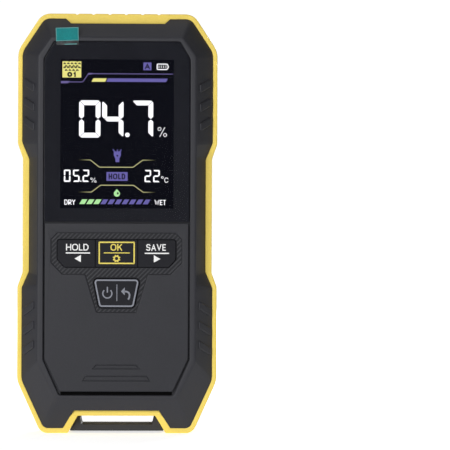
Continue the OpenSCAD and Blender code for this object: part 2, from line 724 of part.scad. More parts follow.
front_shell();
rear_shell();
bumper_band();
lanyard_bar();
front_panel();
screen_lens();
screen_tape();
screen_film();
film_tab();
lcd_panel();
lcd_backlight();
display_frame();
display_ribbon();
hold_key();
ok_key();
save_key();
power_key();
keypad_membrane();
key_switches();
main_board();
board_chips();
board_screws();
buzzer();
usb_socket();
thermistor();
battery_cell();
battery_tape();
battery_plug();
battery_lead();
sensor_cover();
sensor_tape();
sensor_board();
sensor_ribbon();
lamp_bezel();
lamp_led();
rear_pad_left();
rear_pad_right();
rear_pad_lower();
case_screws();
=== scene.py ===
"""Looks for the pinless moisture meter. Lengths are in millimetres until make() turns them into metres."""

import json
import math

import bpy
import bmesh
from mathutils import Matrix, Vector
from mathutils.geometry import tessellate_polygon


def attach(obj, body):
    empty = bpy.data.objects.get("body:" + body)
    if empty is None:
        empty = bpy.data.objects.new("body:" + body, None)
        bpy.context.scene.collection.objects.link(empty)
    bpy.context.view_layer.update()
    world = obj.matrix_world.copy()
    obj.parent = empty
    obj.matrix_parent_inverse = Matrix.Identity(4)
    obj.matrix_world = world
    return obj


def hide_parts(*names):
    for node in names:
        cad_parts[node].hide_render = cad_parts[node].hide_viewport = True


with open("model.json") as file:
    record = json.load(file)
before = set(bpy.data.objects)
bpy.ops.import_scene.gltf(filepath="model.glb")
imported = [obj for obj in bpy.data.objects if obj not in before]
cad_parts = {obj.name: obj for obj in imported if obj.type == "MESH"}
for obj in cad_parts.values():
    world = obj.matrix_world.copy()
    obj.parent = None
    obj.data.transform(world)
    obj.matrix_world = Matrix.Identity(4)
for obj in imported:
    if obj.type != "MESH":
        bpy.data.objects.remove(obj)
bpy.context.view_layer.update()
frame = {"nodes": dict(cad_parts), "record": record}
nodes = frame["nodes"]
MM = 0.001


def both(half):
    """The right half of an outline, bottom up, and its mirror image: counter-clockwise."""
    return half + [(-x, z, r) for x, z, r in reversed(half)]


# ---- depths and outlines

KEY_Y = -13.7
RIM_Y = -13.4
PANEL_Y = -13.2
GLASS_Y = -13.0
SUNK_Y = PANEL_Y + 0.35
POCKET_Y = -11.9
INSIDE_Y = -10.8
LIP = 6.0                                # the bumper's faces, either side of the seam
REAR_INSIDE_Y = 11.6
PLATEAU_Y = 13.4
BACK_Y = 13.7

GRIP_X = 33.25
WAIST_X = 31.55
SHELL_X = 31.75
SHELL_WAIST_X = 29.4
FRONT_RIM_X = 26.1
REAR_RIM_X = 24.95
NOTCH_Z = 8.0
LAMP_Z = 122.6
SENSOR_Z = 95.9
PAD_X = 12.95
USB_Y, USB_Z = -1.65, 72.65

# Outlines: the right half from the bottom up, as (x, z, corner radius). A negative radius is a flat corner.
BUMPER = [
    (12.85, 6.05, 0.6), (16.3, 0.0, 0.8), (25.3, 0.0, 3.6), (GRIP_X, 17.5, 8.0), (GRIP_X, 48.9, 3.0),
    (WAIST_X, 53.6, 3.0), (WAIST_X, 91.7, 3.0), (GRIP_X, 96.5, 3.0), (GRIP_X, 127.6, 7.5), (25.2, 140.0, 5.0),
]
SHELL = [
    (24.3, 1.7, 2.4), (SHELL_X, 17.8, 6.5), (SHELL_X, 48.6, 2.5), (SHELL_WAIST_X, 53.9, 2.5),
    (SHELL_WAIST_X, 91.4, 2.5), (SHELL_X, 97.0, 2.5), (SHELL_X, 127.1, 6.0), (24.35, 138.3, 3.4),
]
FRONT_RIM = [
    (19.9, 12.2, 1.4), (FRONT_RIM_X, 24.4, 2.0), (FRONT_RIM_X, 48.6, -1.2), (FRONT_RIM_X, 53.9, -1.2),
    (FRONT_RIM_X, 91.4, -1.2), (FRONT_RIM_X, 97.0, -1.2), (FRONT_RIM_X, 125.3, 2.5), (21.6, 131.5, 1.2),
]
REAR_RIM = [
    (16.9, 12.9, 1.2), (REAR_RIM_X, 27.2, 2.0), (REAR_RIM_X, 48.6, -1.2), (REAR_RIM_X, 53.9, -1.2),
    (REAR_RIM_X, 91.4, -1.2), (REAR_RIM_X, 97.0, -1.2), (REAR_RIM_X, 121.6, 2.5), (18.3, 131.9, 1.2),
]
POCKET = [(18.9, 13.2, 1.2), (24.2, 25.0, 1.6), (24.2, 124.4, 2.0), (20.8, 130.2, 1.0)]
PANEL = [(18.7, 14.4, 1.0), (23.8, 25.3, 1.4), (23.8, 70.15, 0.5)]
GLASS = [(24.0, 70.6, 0.4), (24.0, 124.3, 1.8), (20.65, 130.0, 0.9)]
HOLE = [(14.15, NOTCH_Z, 0.3), (17.9, 1.75, 0.4), *SHELL, (17.4, 138.25, 0.4), (15.6, 136.5, 0.3)]
# The space inside the shells at the seam, and how high its corners are at the end wall
ROOM = [
    (25.8, 9.8, 1.0), (SHELL_X - 2, 18.3, 3.0), *[(x - 2, z, r) for x, z, r in SHELL[2:6]],
    (SHELL_X - 2, 126.4, 3.0), (24.9, 134.3, 1.0),
]
ROOM_END_Z = [13.6, 26.0, 48.6, 53.9, 91.4, 97.0, 124.0, 129.6]
END_WALL = 1.6                           # from the rim's edge in to the room, at the end wall
LOWER_PAD = [(13.85, 17.6, 0.9), (17.2, 25.1, 0.9)]

# Whole outlines of the faceplate's sunk area, the row of keys and the power key
SURROUND = both([
    (6.7, 40.4, 0.9), (10.5, 53.0, 0.5), (18.0, 53.0, 0.9), (21.8, 57.0, 0.9), (21.8, 64.8, 0.9),
    (19.6, 67.1, 0.9),
])
ROW_Z0, ROW_CORNER_Z, ROW_Z1 = 55.6, 58.2, 64.6
STRIP = both([(17.2, ROW_Z0, 0.8), (19.5, ROW_CORNER_Z, 0.8), (19.5, ROW_Z1, 0.7)])
POWER = both([(5.75, 42.3, 1.2), (7.65, 51.7, 1.2)])

# Places of the case screws and the board's posts, on both sides
SCREWS = [(24.65, 128.7), (23.75, 16.2)]
BOARD_POSTS = [(24.6, 108), (20, 26)]


def unit(v):
    n = math.hypot(v[0], v[1])
    return (v[0] / n, v[1] / n)


def rect(x0, z0, x1, z1, r):
    return [(x0, z0, r), (x1, z0, r), (x1, z1, r), (x0, z1, r)]


def rounded(v, n=6):
    """The outline's points, each corner an arc of its radius, or a flat where that is negative."""
    out = []
    for i, (x, z, r) in enumerate(v):
        a, c = v[i - 1], v[(i + 1) % len(v)]
        u, w = unit((a[0] - x, a[1] - z)), unit((c[0] - x, c[1] - z))
        if r < 0:
            for k in range(n + 1):
                t = k / n
                out.append((x - r * (u[0] * (1 - t) + w[0] * t), z - r * (u[1] * (1 - t) + w[1] * t)))
            continue
        half = math.acos(max(-1, min(1, u[0] * w[0] + u[1] * w[1]))) / 2
        m = unit((u[0] + w[0], u[1] + w[1]))
        cx, cz = x + m[0] * r / math.sin(half), z + m[1] * r / math.sin(half)
        reach = r / math.tan(half)
        start = math.atan2(z + u[1] * reach - cz, x + u[0] * reach - cx)
        end = math.atan2(z + w[1] * reach - cz, x + w[0] * reach - cx)
        turn = (end - start + math.pi) % (2 * math.pi) - math.pi
        for k in range(n + 1):
            angle = start + turn * k / n
            out.append((cx + r * math.cos(angle), cz + r * math.sin(angle)))
    return out


def inward(a, b):
    """The direction to the left of the way from a to b."""
    d = unit((b[0] - a[0], b[1] - a[1]))
    return (-d[1], d[0])


def inset(v, d):
    """The outline moved inwards by d, or outwards where d is negative."""
    out = []
    for i, (x, z, r) in enumerate(v):
        m, n = inward(v[i - 1], (x, z)), inward((x, z), v[(i + 1) % len(v)])
        k = d / (1 + m[0] * n[0] + m[1] * n[1])
        convex = m[0] * n[1] - m[1] * n[0] > 0
        out.append((x + (m[0] + n[0]) * k, z + (m[1] + n[1]) * k,
                    r if r < 0 else max(0.1, r - (d if convex else -d))))
    return out


def lerp(a, b, t):
    """The points or corners part of the way from a to b."""
    return [tuple(p + (q - p) * t for p, q in zip(u, v)) for u, v in zip(a, b)]


def curve(a, b, c, n=4):
    """Points of a rounded edge from a to c, past the corner b."""
    return [tuple((1 - t) ** 2 * p + 2 * t * (1 - t) * q + t * t * s for p, q, s in zip(a, b, c))
            for t in (k / n for k in range(n + 1))]


def circle(x, z, r, n=32):
    return [(x + r * math.cos(2 * math.pi * k / n), z + r * math.sin(2 * math.pi * k / n)) for k in range(n)]


# ---- meshes


class Solid:
    """Rings of points joined into a closed surface."""

    def __init__(self):
        self.v, self.f = [], []

    def ring(self, points, y=None):
        start = len(self.v)
        self.v += [(p[0], y, p[1]) if y is not None else p for p in points]
        return list(range(start, len(self.v)))

    def bridge(self, a, b):
        n = len(a)
        self.f += [(a[i], a[(i + 1) % n], b[(i + 1) % n], b[i]) for i in range(n)]
        return b

    def loft(self, rings):
        """Joins each ring to the next."""
        for a, b in zip(rings, rings[1:]):
            self.bridge(a, b)

    def walk(self, start, rings):
        """Joins ring start to each of rings, given as (points, depth), and returns the last."""
        for points, y in rings:
            start = self.bridge(start, self.ring(points, y))
        return start

    def steps(self, outline, profile, start=None):
        """Follows an outline through (inset, depth) steps."""
        rings = [(rounded(inset(outline, d)), y) for d, y in profile]
        if start is None:
            start = self.ring(*rings.pop(0))
            return start, self.walk(start, rings)
        return self.walk(start, rings)

    def cap(self, outer, *holes):
        loops = [outer, *holes]
        flat = [k for loop in loops for k in loop]
        tris = tessellate_polygon([[Vector((self.v[k][0], self.v[k][2], 0)) for k in loop] for loop in loops])
        self.f += [tuple(flat[i] for i in t) for t in tris]

    def prism(self, outline, y0, y1, r0=0.0, r1=0.0):
        """A block through the outline, with edges rounded by r0 at y0 and r1 at y1."""
        s = 1 if y1 > y0 else -1
        profile = curve((r0, y0), (0, y0), (0, y0 + s * r0)) if r0 else [(0, y0)]
        profile += curve((0, y1 - s * r1), (0, y1), (r1, y1)) if r1 else [(0, y1)]
        first, last = self.steps(outline, profile)
        self.cap(first)
        self.cap(last)
        return self

    def sheet(self, points, y0, y1):
        """A thin plate through a plain polygon."""
        first = self.ring(points, y0)
        self.cap(first)
        self.cap(self.bridge(first, self.ring(points, y1)))
        return self

    def turned(self, profile, z, n=48):
        """A closed (radius, depth) profile turned about the axis along Y at height z."""
        rings = [self.ring(circle(0, z, r, n), y) for r, y in profile]
        self.loft(rings + rings[:1])
        return self


def mesh_of(solid):
    mesh = bpy.data.meshes.new("piece")
    mesh.from_pydata([[c * MM for c in p] for p in solid.v], [], solid.f)
    bm = bmesh.new()
    bm.from_mesh(mesh)
    bmesh.ops.remove_doubles(bm, verts=bm.verts, dist=2e-6)
    bmesh.ops.dissolve_degenerate(bm, edges=bm.edges, dist=1e-7)
    bmesh.ops.recalc_face_normals(bm, faces=bm.faces)
    bm.to_mesh(mesh)
    bm.free()
    return mesh


def thing(solid, name="tool"):
    obj = bpy.data.objects.new(name, mesh_of(solid))
    bpy.context.scene.collection.objects.link(obj)
    return obj


def combine(obj, tool, operation="DIFFERENCE"):
    mod = obj.modifiers.new("combine", "BOOLEAN")
    mod.object, mod.operation, mod.solver = tool, operation, "EXACT"
    mod.use_self = operation == "UNION"
    graph = bpy.context.evaluated_depsgraph_get()
    mesh = bpy.data.meshes.new_from_object(obj.evaluated_get(graph))
    obj.modifiers.clear()
    obj.data = mesh
    bpy.data.objects.remove(tool)
    return obj


def make(name, solid, material, body="case", replaces=(), angle=32):
    obj = solid if isinstance(solid, bpy.types.Object) else thing(solid, name)
    obj.name = name
    obj.data.materials.clear()
    obj.data.materials.append(material)
    obj.data.shade_smooth()
    obj.data.set_sharp_from_angle(angle=math.radians(angle))
    weigh = obj.modifiers.new("normals", "WEIGHTED_NORMAL")
    weigh.keep_sharp = True
    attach(obj, body)
    if replaces:
        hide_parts(*replaces)
    return obj


# ---- materials


def preset(node, values):
    """Sets the node's inputs; an underscore in a name stands for a space."""
    for socket, value in values.items():
        node.inputs[socket.replace("_", " ")].default_value = value
    return node


def add(tree, kind, **values):
    """A new shader node in the tree, with its inputs set."""
    return preset(tree.nodes.new("ShaderNode" + kind), values)


def surface(name, **values):
    """A new material, its node tree and its shader."""
    mat = bpy.data.materials.new(name)
    mat.use_nodes = True
    tree = mat.node_tree
    return mat, tree, preset(tree.nodes["Principled BSDF"], values)


def finish(name, color, rough=0.5, spread=0.12, grain=1400, bump=0.15, wide=90, metal=0.0,
           specular=0.5, coat=0.0, streak=None):
    """A moulded, printed or metal surface: base colour and roughness that vary, over a fine grain."""
    mat, tree, shader = surface(name, Metallic=metal, Specular_IOR_Level=specular, Coat_Weight=coat,
                                Coat_Roughness=0.05)
    link = tree.links.new
    place = add(tree, "TexCoord").outputs["Object"]
    if streak:
        mapping = add(tree, "Mapping", Scale=streak)
        link(place, mapping.inputs["Vector"])
        place = mapping.outputs["Vector"]
    fine, broad = add(tree, "TexNoise", Scale=grain, Detail=3), add(tree, "TexNoise", Scale=wide, Detail=4)
    total, half = add(tree, "Math"), add(tree, "Math")
    for i, noise in enumerate((fine, broad)):
        link(place, noise.inputs["Vector"])
        link(noise.outputs["Fac"], total.inputs[i])
    half.operation = "MULTIPLY"
    half.inputs[1].default_value = 0.5
    link(total.outputs[0], half.inputs[0])
    ramp = add(tree, "ValToRGB")
    for element, position, k in zip(ramp.color_ramp.elements, (0.35, 0.65), (1 - spread, 1 + spread)):
        element.position = position
        element.color = [min(1, c * k) for c in color] + [1]
    link(half.outputs[0], ramp.inputs["Fac"])
    link(ramp.outputs["Color"], shader.inputs["Base Color"])
    wear = add(tree, "MapRange", From_Min=0.3, From_Max=0.7, To_Min=max(0.02, rough * (1 - spread)),
               To_Max=min(1, rough * (1 + spread)))
    link(broad.outputs["Fac"], wear.inputs["Value"])
    link(wear.outputs["Result"], shader.inputs["Roughness"])
    if bump:
        relief = add(tree, "Bump", Strength=bump, Distance=0.00006)
        link(fine.outputs["Fac"], relief.inputs["Height"])
        link(relief.outputs["Normal"], shader.inputs["Normal"])
    return mat


def lit(name, color, fade=None):
    """A lit part of the display: its light varies a little, and may fade out between two distances."""
    mat, tree, shader = surface(name, Roughness=0.3, Specular_IOR_Level=0.0, Base_Color=(0, 0, 0, 1),
                                Emission_Strength=1.0)
    link = tree.links.new
    place = add(tree, "TexCoord").outputs["Object"]
    noise, ramp = add(tree, "TexNoise", Scale=400), add(tree, "ValToRGB")
    link(place, noise.inputs["Vector"])
    link(noise.outputs["Fac"], ramp.inputs["Fac"])
    for element, k in zip(ramp.color_ramp.elements, (0.96, 1.04)):
        element.color = [c * k for c in color] + [1]
    out = ramp.outputs["Color"]
    if fade:
        split, size = add(tree, "SeparateXYZ"), add(tree, "Math")
        link(place, split.inputs[0])
        size.operation = "ABSOLUTE"
        link(split.outputs["X"], size.inputs[0])
        fall = add(tree, "MapRange", From_Min=fade[0], From_Max=fade[1], To_Min=1, To_Max=0.03)
        fall.interpolation_type = "SMOOTHSTEP"
        link(size.outputs[0], fall.inputs["Value"])
        mix = add(tree, "Mix")
        mix.data_type = "RGBA"
        mix.inputs["A"].default_value = (0, 0, 0, 1)
        link(fall.outputs["Result"], mix.inputs["Factor"])
        link(out, mix.inputs["B"])
        out = mix.outputs["Result"]
    link(out, shader.inputs["Emission Color"])
    return mat


charcoal = finish("charcoal_plastic", (0.027, 0.0275, 0.0335), rough=0.52, grain=2600, bump=0.35,
                  spread=0.1, specular=0.28)
panel_mat = finish("panel_plastic", (0.0235, 0.024, 0.0295), grain=2600, bump=0.3,
                   spread=0.1, specular=0.25)
hatch_mat = finish("hatch_plastic", (0.033, 0.0335, 0.040), grain=2600, bump=0.3, specular=0.3)
sunk_mat = finish("sunk_plastic", (0.016, 0.0165, 0.020), rough=0.6, grain=2600, bump=0.3, specular=0.2)
key_mat = finish("key_rubber", (0.0115, 0.0118, 0.0155), rough=0.6, grain=2200, bump=0.25, specular=0.15)
yellow = finish("yellow_rubber", (0.875, 0.665, 0.128), rough=0.55, grain=2400, bump=0.3,
                spread=0.05, specular=0.3)
glass = finish("cover_glass", (0.0114, 0.0117, 0.0163), rough=0.05, spread=0.08, grain=500, bump=0.0,
               specular=0.2)
gloss = finish("sensor_gloss", (0.007, 0.0075, 0.010), rough=0.07, spread=0.2, grain=700, bump=0.01)
pad_mat = finish("pad_rubber", (0.0075, 0.0076, 0.009), rough=0.75, grain=1500, bump=0.9,
                 spread=0.25, specular=0.2)
bar_mat = finish("bar_plastic", (0.040, 0.040, 0.043), rough=0.6, grain=2600, bump=0.3, specular=0.15)
# Near-black and dull: paints the shade in the gap below the faceplate
gap_shade_mat = finish("painted_gap_shade", (0.003, 0.003, 0.0032), rough=0.9, grain=1500, bump=0.1, specular=0.05)
lamp_black = finish("lamp_black", (0.0035, 0.0035, 0.004), rough=0.35, grain=1500, bump=0.1, specular=0.2)
white_print = finish("white_print", (0.80, 0.80, 0.80), spread=0.05)
yellow_print = finish("yellow_print", (0.74, 0.60, 0.09), spread=0.05)
grey_print = finish("grey_print", (0.20, 0.21, 0.25), spread=0.06)
dim_print = finish("dim_print", (0.085, 0.09, 0.113), spread=0.08)
cream_print = finish("cream_print", (0.85, 0.72, 0.58), spread=0.05)

ui_black = lit("ui_black", (0.0015, 0.0015, 0.0045))
ui_white = lit("ui_white", (1.25, 1.24, 1.3))
ui_violet = lit("ui_violet", (0.15, 0.13, 0.42))
ui_line = lit("ui_line", (0.16, 0.13, 0.34))
ui_yellow = lit("ui_yellow", (0.90, 0.84, 0.26))
ui_gold = lit("ui_gold", (0.60, 0.58, 0.28), fade=(0.0075, 0.0128))
ui_green = lit("ui_green", (0.47, 0.87, 0.39))
ui_dark = lit("ui_dark", (0.010, 0.009, 0.012))

# ---- case


def rod(x, z, y0, y1, r, n=40):
    return Solid().sheet(circle(x, z, r, n), y0, y1)


def join(*solids):
    out = Solid()
    for s in solids:
        start = len(out.v)
        out.v += s.v
        out.f += [tuple(i + start for i in face) for face in s.f]
    return out


def notch_tools():
    """The wedges that open the case's top and bottom for the bumper's ribbed block and bridge."""
    bottom = [(14.15, NOTCH_Z), (-14.15, NOTCH_Z), (-20.1, -1.92), (20.1, -1.92)]
    top = [(15.6, 136.5), (20.0, 140.9), (-20.0, 140.9), (-15.6, 136.5)]
    return join(Solid().sheet(bottom, -20, 20), Solid().sheet(top, -20, 20))


def half_case(end_y, rim, edge=0.6):
    """The outside of one shell, its seam ring and the last ring of its end's rounded edge."""
    solid = Solid()
    s = 1 if end_y > 0 else -1
    wide, narrow = rounded(both(SHELL)), rounded(both(rim))
    seam = solid.ring(wide, 0)
    near = 0.94                          # how far up the flank the rounding starts
    y = s * LIP + (end_y - s * LIP) * near
    flank = lerp(wide, narrow, near)
    rings = [(wide, s * (LIP - 0.1)), (lerp(wide, narrow, 0.01), s * (LIP + 0.02))]
    last = solid.walk(seam, rings)
    inner = rounded(inset(both(rim), edge))
    arcs = [curve((a[0], y, a[1]), (b[0], end_y, b[1]), (c[0], end_y, c[1]), 5)
            for a, b, c in zip(flank, narrow, inner)]
    for points in zip(*arcs):
        last = solid.bridge(last, solid.ring(points))
    return solid, seam, last


def grip_pads(s, lowest, pitch, height, rise, x_in, x_out, rim_x, end_y):
    """Three raised, slanted pads on one flank and three on the other."""
    slope = (abs(end_y) - LIP) / (SHELL_X - rim_x)
    n = unit((slope, 1.0))
    out = []
    for i in range(3):
        z = lowest + i * pitch
        corners = [(x_in, z, 0.35), (x_out, z + rise, 0.35), (x_out, z + rise + height, 0.35),
                   (x_in, z + height, 0.35)]
        solid = Solid()
        rings = []
        for d, up in ((0, -0.25), (0, 0.18), (0.06, 0.3), (0.18, 0.4), (0.36, 0.44)):
            ring = [(x + n[0] * up, s * (LIP + (SHELL_X - x) * slope + n[1] * up), z2)
                    for x, z2 in rounded(inset(corners, d), 4)]
            rings.append(solid.ring(ring))
        solid.loft(rings)
        for ring in (rings[0], rings[-1]):
            solid.cap(ring)
        out.append(solid)
        mirrored = Solid()
        mirrored.v = [(-x, y, z2) for x, y, z2 in solid.v]
        mirrored.f = list(solid.f)
        out.append(mirrored)
    return out


def room(end_y, rim):
    """The space inside a shell, from past the seam to its end wall."""
    s = 1 if end_y > 0 else -1
    k = (abs(end_y) - LIP) / (abs(PLATEAU_Y if s > 0 else RIM_Y) - LIP)
    narrow = [(x + (min(rim_x - END_WALL, x) - x) * k, z + (end_z - z) * k, r)
              for (x, z, r), (rim_x, _, _), end_z in zip(ROOM, rim, ROOM_END_Z)]
    wide, narrow = both(ROOM), both(narrow)
    solid = Solid()
    first = solid.ring(rounded(wide), -s)
    solid.cap(first)
    last = solid.walk(first, [(rounded(wide), s * LIP), (rounded(narrow), end_y)])
    solid.cap(last)
    return solid


def posts(places, y0, y1, r):
    """Round posts along Y at the places and their mirror images."""
    return join(*[rod(side * x, z, y0, y1, r) for x, z in places for side in (-1, 1)])


def front_shell():
    solid, seam, last = half_case(RIM_Y, FRONT_RIM)
    solid.cap(seam)
    profile = curve((-0.35, RIM_Y), (0, RIM_Y), (0, RIM_Y + 0.35)) + [(0, POCKET_Y)]
    mouth, floor = solid.steps(both(POCKET), profile)
    solid.cap(last, mouth)
    holes = []
    window, row = rect(-19.4, 74.3, 19.4, 124.9, 0.5), rect(-20.7, 54.2, 20.7, 65.8, 0.5)
    for outline in (window, row, inset(POWER, -1.2)):
        top, bottom = solid.steps(outline, [(0, POCKET_Y), (0, INSIDE_Y + 1.0)])
        solid.cap(bottom)
        holes.append(top)
    solid.cap(floor, *holes)
    obj = thing(solid, "front_case")
    pads = grip_pads(-1, 100.5, 6.4, 2.7, 2.6, 27.3, 31.2, FRONT_RIM_X, RIM_Y)
    pads += grip_pads(-1, 28.75, 6.5, 2.75, -2.8, 27.3, 31.2, FRONT_RIM_X, RIM_Y)
    combine(obj, thing(join(*pads)), "UNION")
    inside = thing(room(INSIDE_Y, FRONT_RIM))
    combine(inside, thing(posts(SCREWS, -12, 3, 2.9)))
    combine(inside, thing(posts(BOARD_POSTS, -12, -4.5, 1.9)))
    combine(obj, inside)
    combine(obj, thing(notch_tools()))
    combine(obj, thing(join(posts(SCREWS, -9, 1, 1.0), posts(BOARD_POSTS, -10, 0, 0.75))))
    combine(obj, thing(usb_tool(3.7, 9.3, 26.4, 40)))
    return obj


def usb_tool(depth, height, x0, x1):
    """A rounded slot that runs along X, where the charging plug goes in."""
    solid = Solid()
    outline = rounded(rect(USB_Y - depth / 2, USB_Z - height / 2, USB_Y + depth / 2, USB_Z + height / 2,
                           depth / 2 - 0.05), 8)
    first = solid.ring([(x0, y, z) for y, z in outline])
    last = solid.bridge(first, solid.ring([(x1, y, z) for y, z in outline]))
    for ring in (first, last):
        centre = len(solid.v)
        x = solid.v[ring[0]][0]
        solid.v.append((x, USB_Y, USB_Z))
        solid.f += [(ring[i], ring[(i + 1) % len(ring)], centre) for i in range(len(ring))]
    return solid


def rear_shell():
    solid, seam, last = half_case(PLATEAU_Y, REAR_RIM)
    solid.cap(seam)
    rim = both(REAR_RIM)
    groove = curve((1.2, PLATEAU_Y), (1.4, PLATEAU_Y), (1.4, PLATEAU_Y - 0.25), 3)
    groove += [(1.45, 12.4), (2.5, 12.4)]
    groove += curve((2.55, PLATEAU_Y - 0.4), (2.55, PLATEAU_Y), (2.95, PLATEAU_Y), 3)
    last = solid.steps(rim, groove, last)
    holes = []
    half = 19.65
    recesses = [
        (rect(-half, SENSOR_Z - half, half, SENSOR_Z + half, 0.9), 0.15, 12.35),
        (inset(both(LOWER_PAD), -1), 0.25, 13.15),
    ]
    for s in (-1, 1):
        x = s * PAD_X
        recesses.append((rect(x - 5.35, LAMP_Z - 4.3, x + 5.35, LAMP_Z + 4.3, 2.1), 0.2, 13.15))
    for outline, r, floor_y in recesses:
        r = min(r, PLATEAU_Y - floor_y)
        profile = curve((-r, PLATEAU_Y), (0, PLATEAU_Y), (0, PLATEAU_Y - r), 3) + [(0, floor_y - 0.01)]
        top, bottom = solid.steps(outline, profile)
        solid.cap(bottom)
        holes.append(top)
    top = solid.ring(circle(0, LAMP_Z, 5.65, 48), PLATEAU_Y)
    bore = circle(0, LAMP_Z, 5.46, 48)
    pit = solid.walk(top, [(bore, PLATEAU_Y - 0.18), (bore, 10.5)])
    solid.cap(pit)
    solid.cap(last, *holes, top)
    obj = thing(solid, "rear_case")
    pads = grip_pads(1, 100.1, 7.2, 3.0, 2.9, 26.6, 30.4, REAR_RIM_X, PLATEAU_Y)
    pads += grip_pads(1, 28.2, 7.2, 3.0, -2.9, 26.6, 30.4, REAR_RIM_X, PLATEAU_Y)
    combine(obj, thing(join(*pads)), "UNION")
    inside = thing(room(REAR_INSIDE_Y, REAR_RIM))
    combine(inside, thing(posts(SCREWS, -3, 13, 3.4)))
    combine(obj, inside)
    combine(obj, thing(notch_tools()))
    combine(obj, thing(posts(SCREWS, -1, 20, 1.15)))
    combine(obj, thing(posts(SCREWS, 5, 20, 2.1)))
    combine(obj, thing(usb_tool(3.7, 9.3, 26.4, 40)))
    return obj


def bumper():
    solid = Solid()
    outline, hole = both(BUMPER), both(HOLE)
    r = 0.5
    profile = curve((r, -LIP), (0, -LIP), (0, -LIP + r)) + curve((0, LIP - r), (0, LIP), (r, LIP))
    front, back = solid.steps(outline, profile)
    profile = curve((-0.2, -LIP), (0, -LIP), (0, -LIP + 0.25), 2)
    profile += curve((0, LIP - 0.25), (0, LIP), (-0.2, LIP), 2)
    inner_front, inner_back = solid.steps(hole, profile)
    solid.cap(front, inner_front)
    solid.cap(back, inner_back)
    obj = thing(solid, "bumper")
    crown = both([(15.55, 136.55, 0.4), (17.35, 138.3, 0.4), (17.35, 139.96, 0.4)])
    combine(obj, thing(Solid().prism(crown, -6.12, 6.12, 0.5, 0.5)), "UNION")
    bridge = both([(12.9, 6.1, 0.5), (16.15, 0.4, 0.3), (17.2, 0.7, 0.4), (17.85, 1.75, 0.3),
                   (14.1, 7.95, 0.3)])
    block = thing(Solid().prism(bridge, -9, 8.8, 0.3, 0.3))
    slope = Solid()
    side = [(-LIP, -1), (-LIP, 1.75), (-9, 6), (-10, 9), (9.8, 9), (8.8, 6), (LIP, 1.75), (LIP, -1)]
    first, last = (slope.ring([(x, y, z) for y, z in side]) for x in (-22, 22))
    slope.bridge(first, last)
    slope.f += [tuple(first), tuple(last)]
    combine(obj, combine(block, thing(slope), "INTERSECT"), "UNION")
    grooves = [rod((i - 2.5) * 5.45, 140.33, -20, 20, 0.7, 24) for i in range(6)]
    combine(obj, thing(join(*grooves)))
    combine(obj, thing(usb_tool(6.4, 12.2, 26.4, 40)))
    return obj


make("front_case", front_shell(), charcoal, replaces=["front_shell"], angle=40)
make("rear_case", rear_shell(), charcoal, replaces=["rear_shell"], angle=40)
make("bumper", bumper(), yellow, replaces=["bumper_band"], angle=40)

bar = both([(15.8, 0.75, 0.25), (12.95, 5.8, 0.15), (12.4, 5.8, 0.15), (11.8, 2.9, 0.5)])
lugs = [rect(x - 3.15, 2.4, x + 3.15, 4.2, 0.3) for x in (-16.75, 16.75)]
strap_bar = thing(Solid().prism(bar, -5, 5, 0.15, 0.15))
combine(strap_bar, thing(join(*[Solid().prism(lug, -2.4, 2.4, 0.2, 0.2) for lug in lugs])), "UNION")
make("strap_bar", strap_bar, bar_mat, replaces=["lanyard_bar"])

# ---- faceplate and keys


def faceplate():
    solid = Solid()
    outline = both(PANEL)
    profile = [(0, POCKET_Y - 0.03)] + curve((0, PANEL_Y + 0.4), (0, PANEL_Y), (0.4, PANEL_Y))
    back, face = solid.steps(outline, profile)
    step, floor = solid.steps(SURROUND, [(-0.18, PANEL_Y), (0.1, PANEL_Y + 0.1), (0.2, SUNK_Y)])
    holes, backs = [], []
    for outline in (inset(STRIP, -0.15), inset(POWER, -0.3)):
        top, bottom = solid.steps(outline, [(-0.1, SUNK_Y), (0, SUNK_Y + 0.1), (0, POCKET_Y - 0.03)])
        holes.append(top)
        backs.append(bottom)
    solid.cap(floor, *holes)
    solid.cap(back, *backs)
    bars = []
    bar_profile = [(-0.05, PANEL_Y), (0.03, PANEL_Y + 0.3), (0.27, PANEL_Y + 0.3), (0.36, PANEL_Y)]
    for z0, z1, w0, w1 in ((21.9, 23.4, 8.0, 6.6), (17.9, 19.7, 11.3, 10.2)):
        outline = [(-w0, z0, 0.1), (w0, z0, 0.1), (w1, z1, 0.1), (-w1, z1, 0.1)]
        top, inner = solid.steps(outline, bar_profile)
        solid.cap(inner)
        bars.append(top)
    solid.cap(face, step, *bars)
    return solid


def hatch():
    """Slanted ribs on the sunk floor round the keys."""
    pitch, width, low, rise = 1.5, 0.6, 38, 30
    stripes = []
    for i in range(-40, 20):
        x = i * pitch
        stripe = [(x, low), (x + width, low), (x + width + rise, low + rise), (x + rise, low + rise)]
        stripes.append(Solid().sheet(stripe, SUNK_Y - 0.16, SUNK_Y + 0.1))
    ribs = thing(join(*stripes))
    combine(ribs, thing(Solid().prism(inset(SURROUND, 0.35), SUNK_Y - 1, SUNK_Y + 1)), "INTERSECT")
    combine(ribs, thing(Solid().prism(inset(STRIP, -0.35), SUNK_Y - 2, SUNK_Y + 2)))
    combine(ribs, thing(Solid().prism(inset(POWER, -0.6), SUNK_Y - 2, SUNK_Y + 2)))
    return ribs


def key(cap, flange, crown=0.14):
    """A key cap with a rounded top edge, on the flange that holds it in."""
    solid = Solid()
    top_y, flange_y, back_y = KEY_Y + 0.03, -11.75, -11.0
    back, shoulder = solid.steps(flange, [(0, back_y), (0, flange_y)])
    base, face = solid.steps(cap, [(0, flange_y)] + curve((0, top_y + crown), (0, top_y), (crown, top_y)))
    solid.cap(back)
    solid.cap(shoulder, base)
    solid.cap(face)
    return solid


make("faceplate", faceplate(), panel_mat, replaces=["front_panel"])
make("faceplate_ribs", hatch(), hatch_mat)
sunk = thing(Solid().prism(inset(SURROUND, 0.22), SUNK_Y - 0.02, SUNK_Y + 0.1))
combine(sunk, thing(Solid().prism(inset(STRIP, -0.3), -15, -10)))
combine(sunk, thing(Solid().prism(inset(POWER, -0.45), -15, -10)))
make("faceplate_sunk_floor", sunk, sunk_mat)
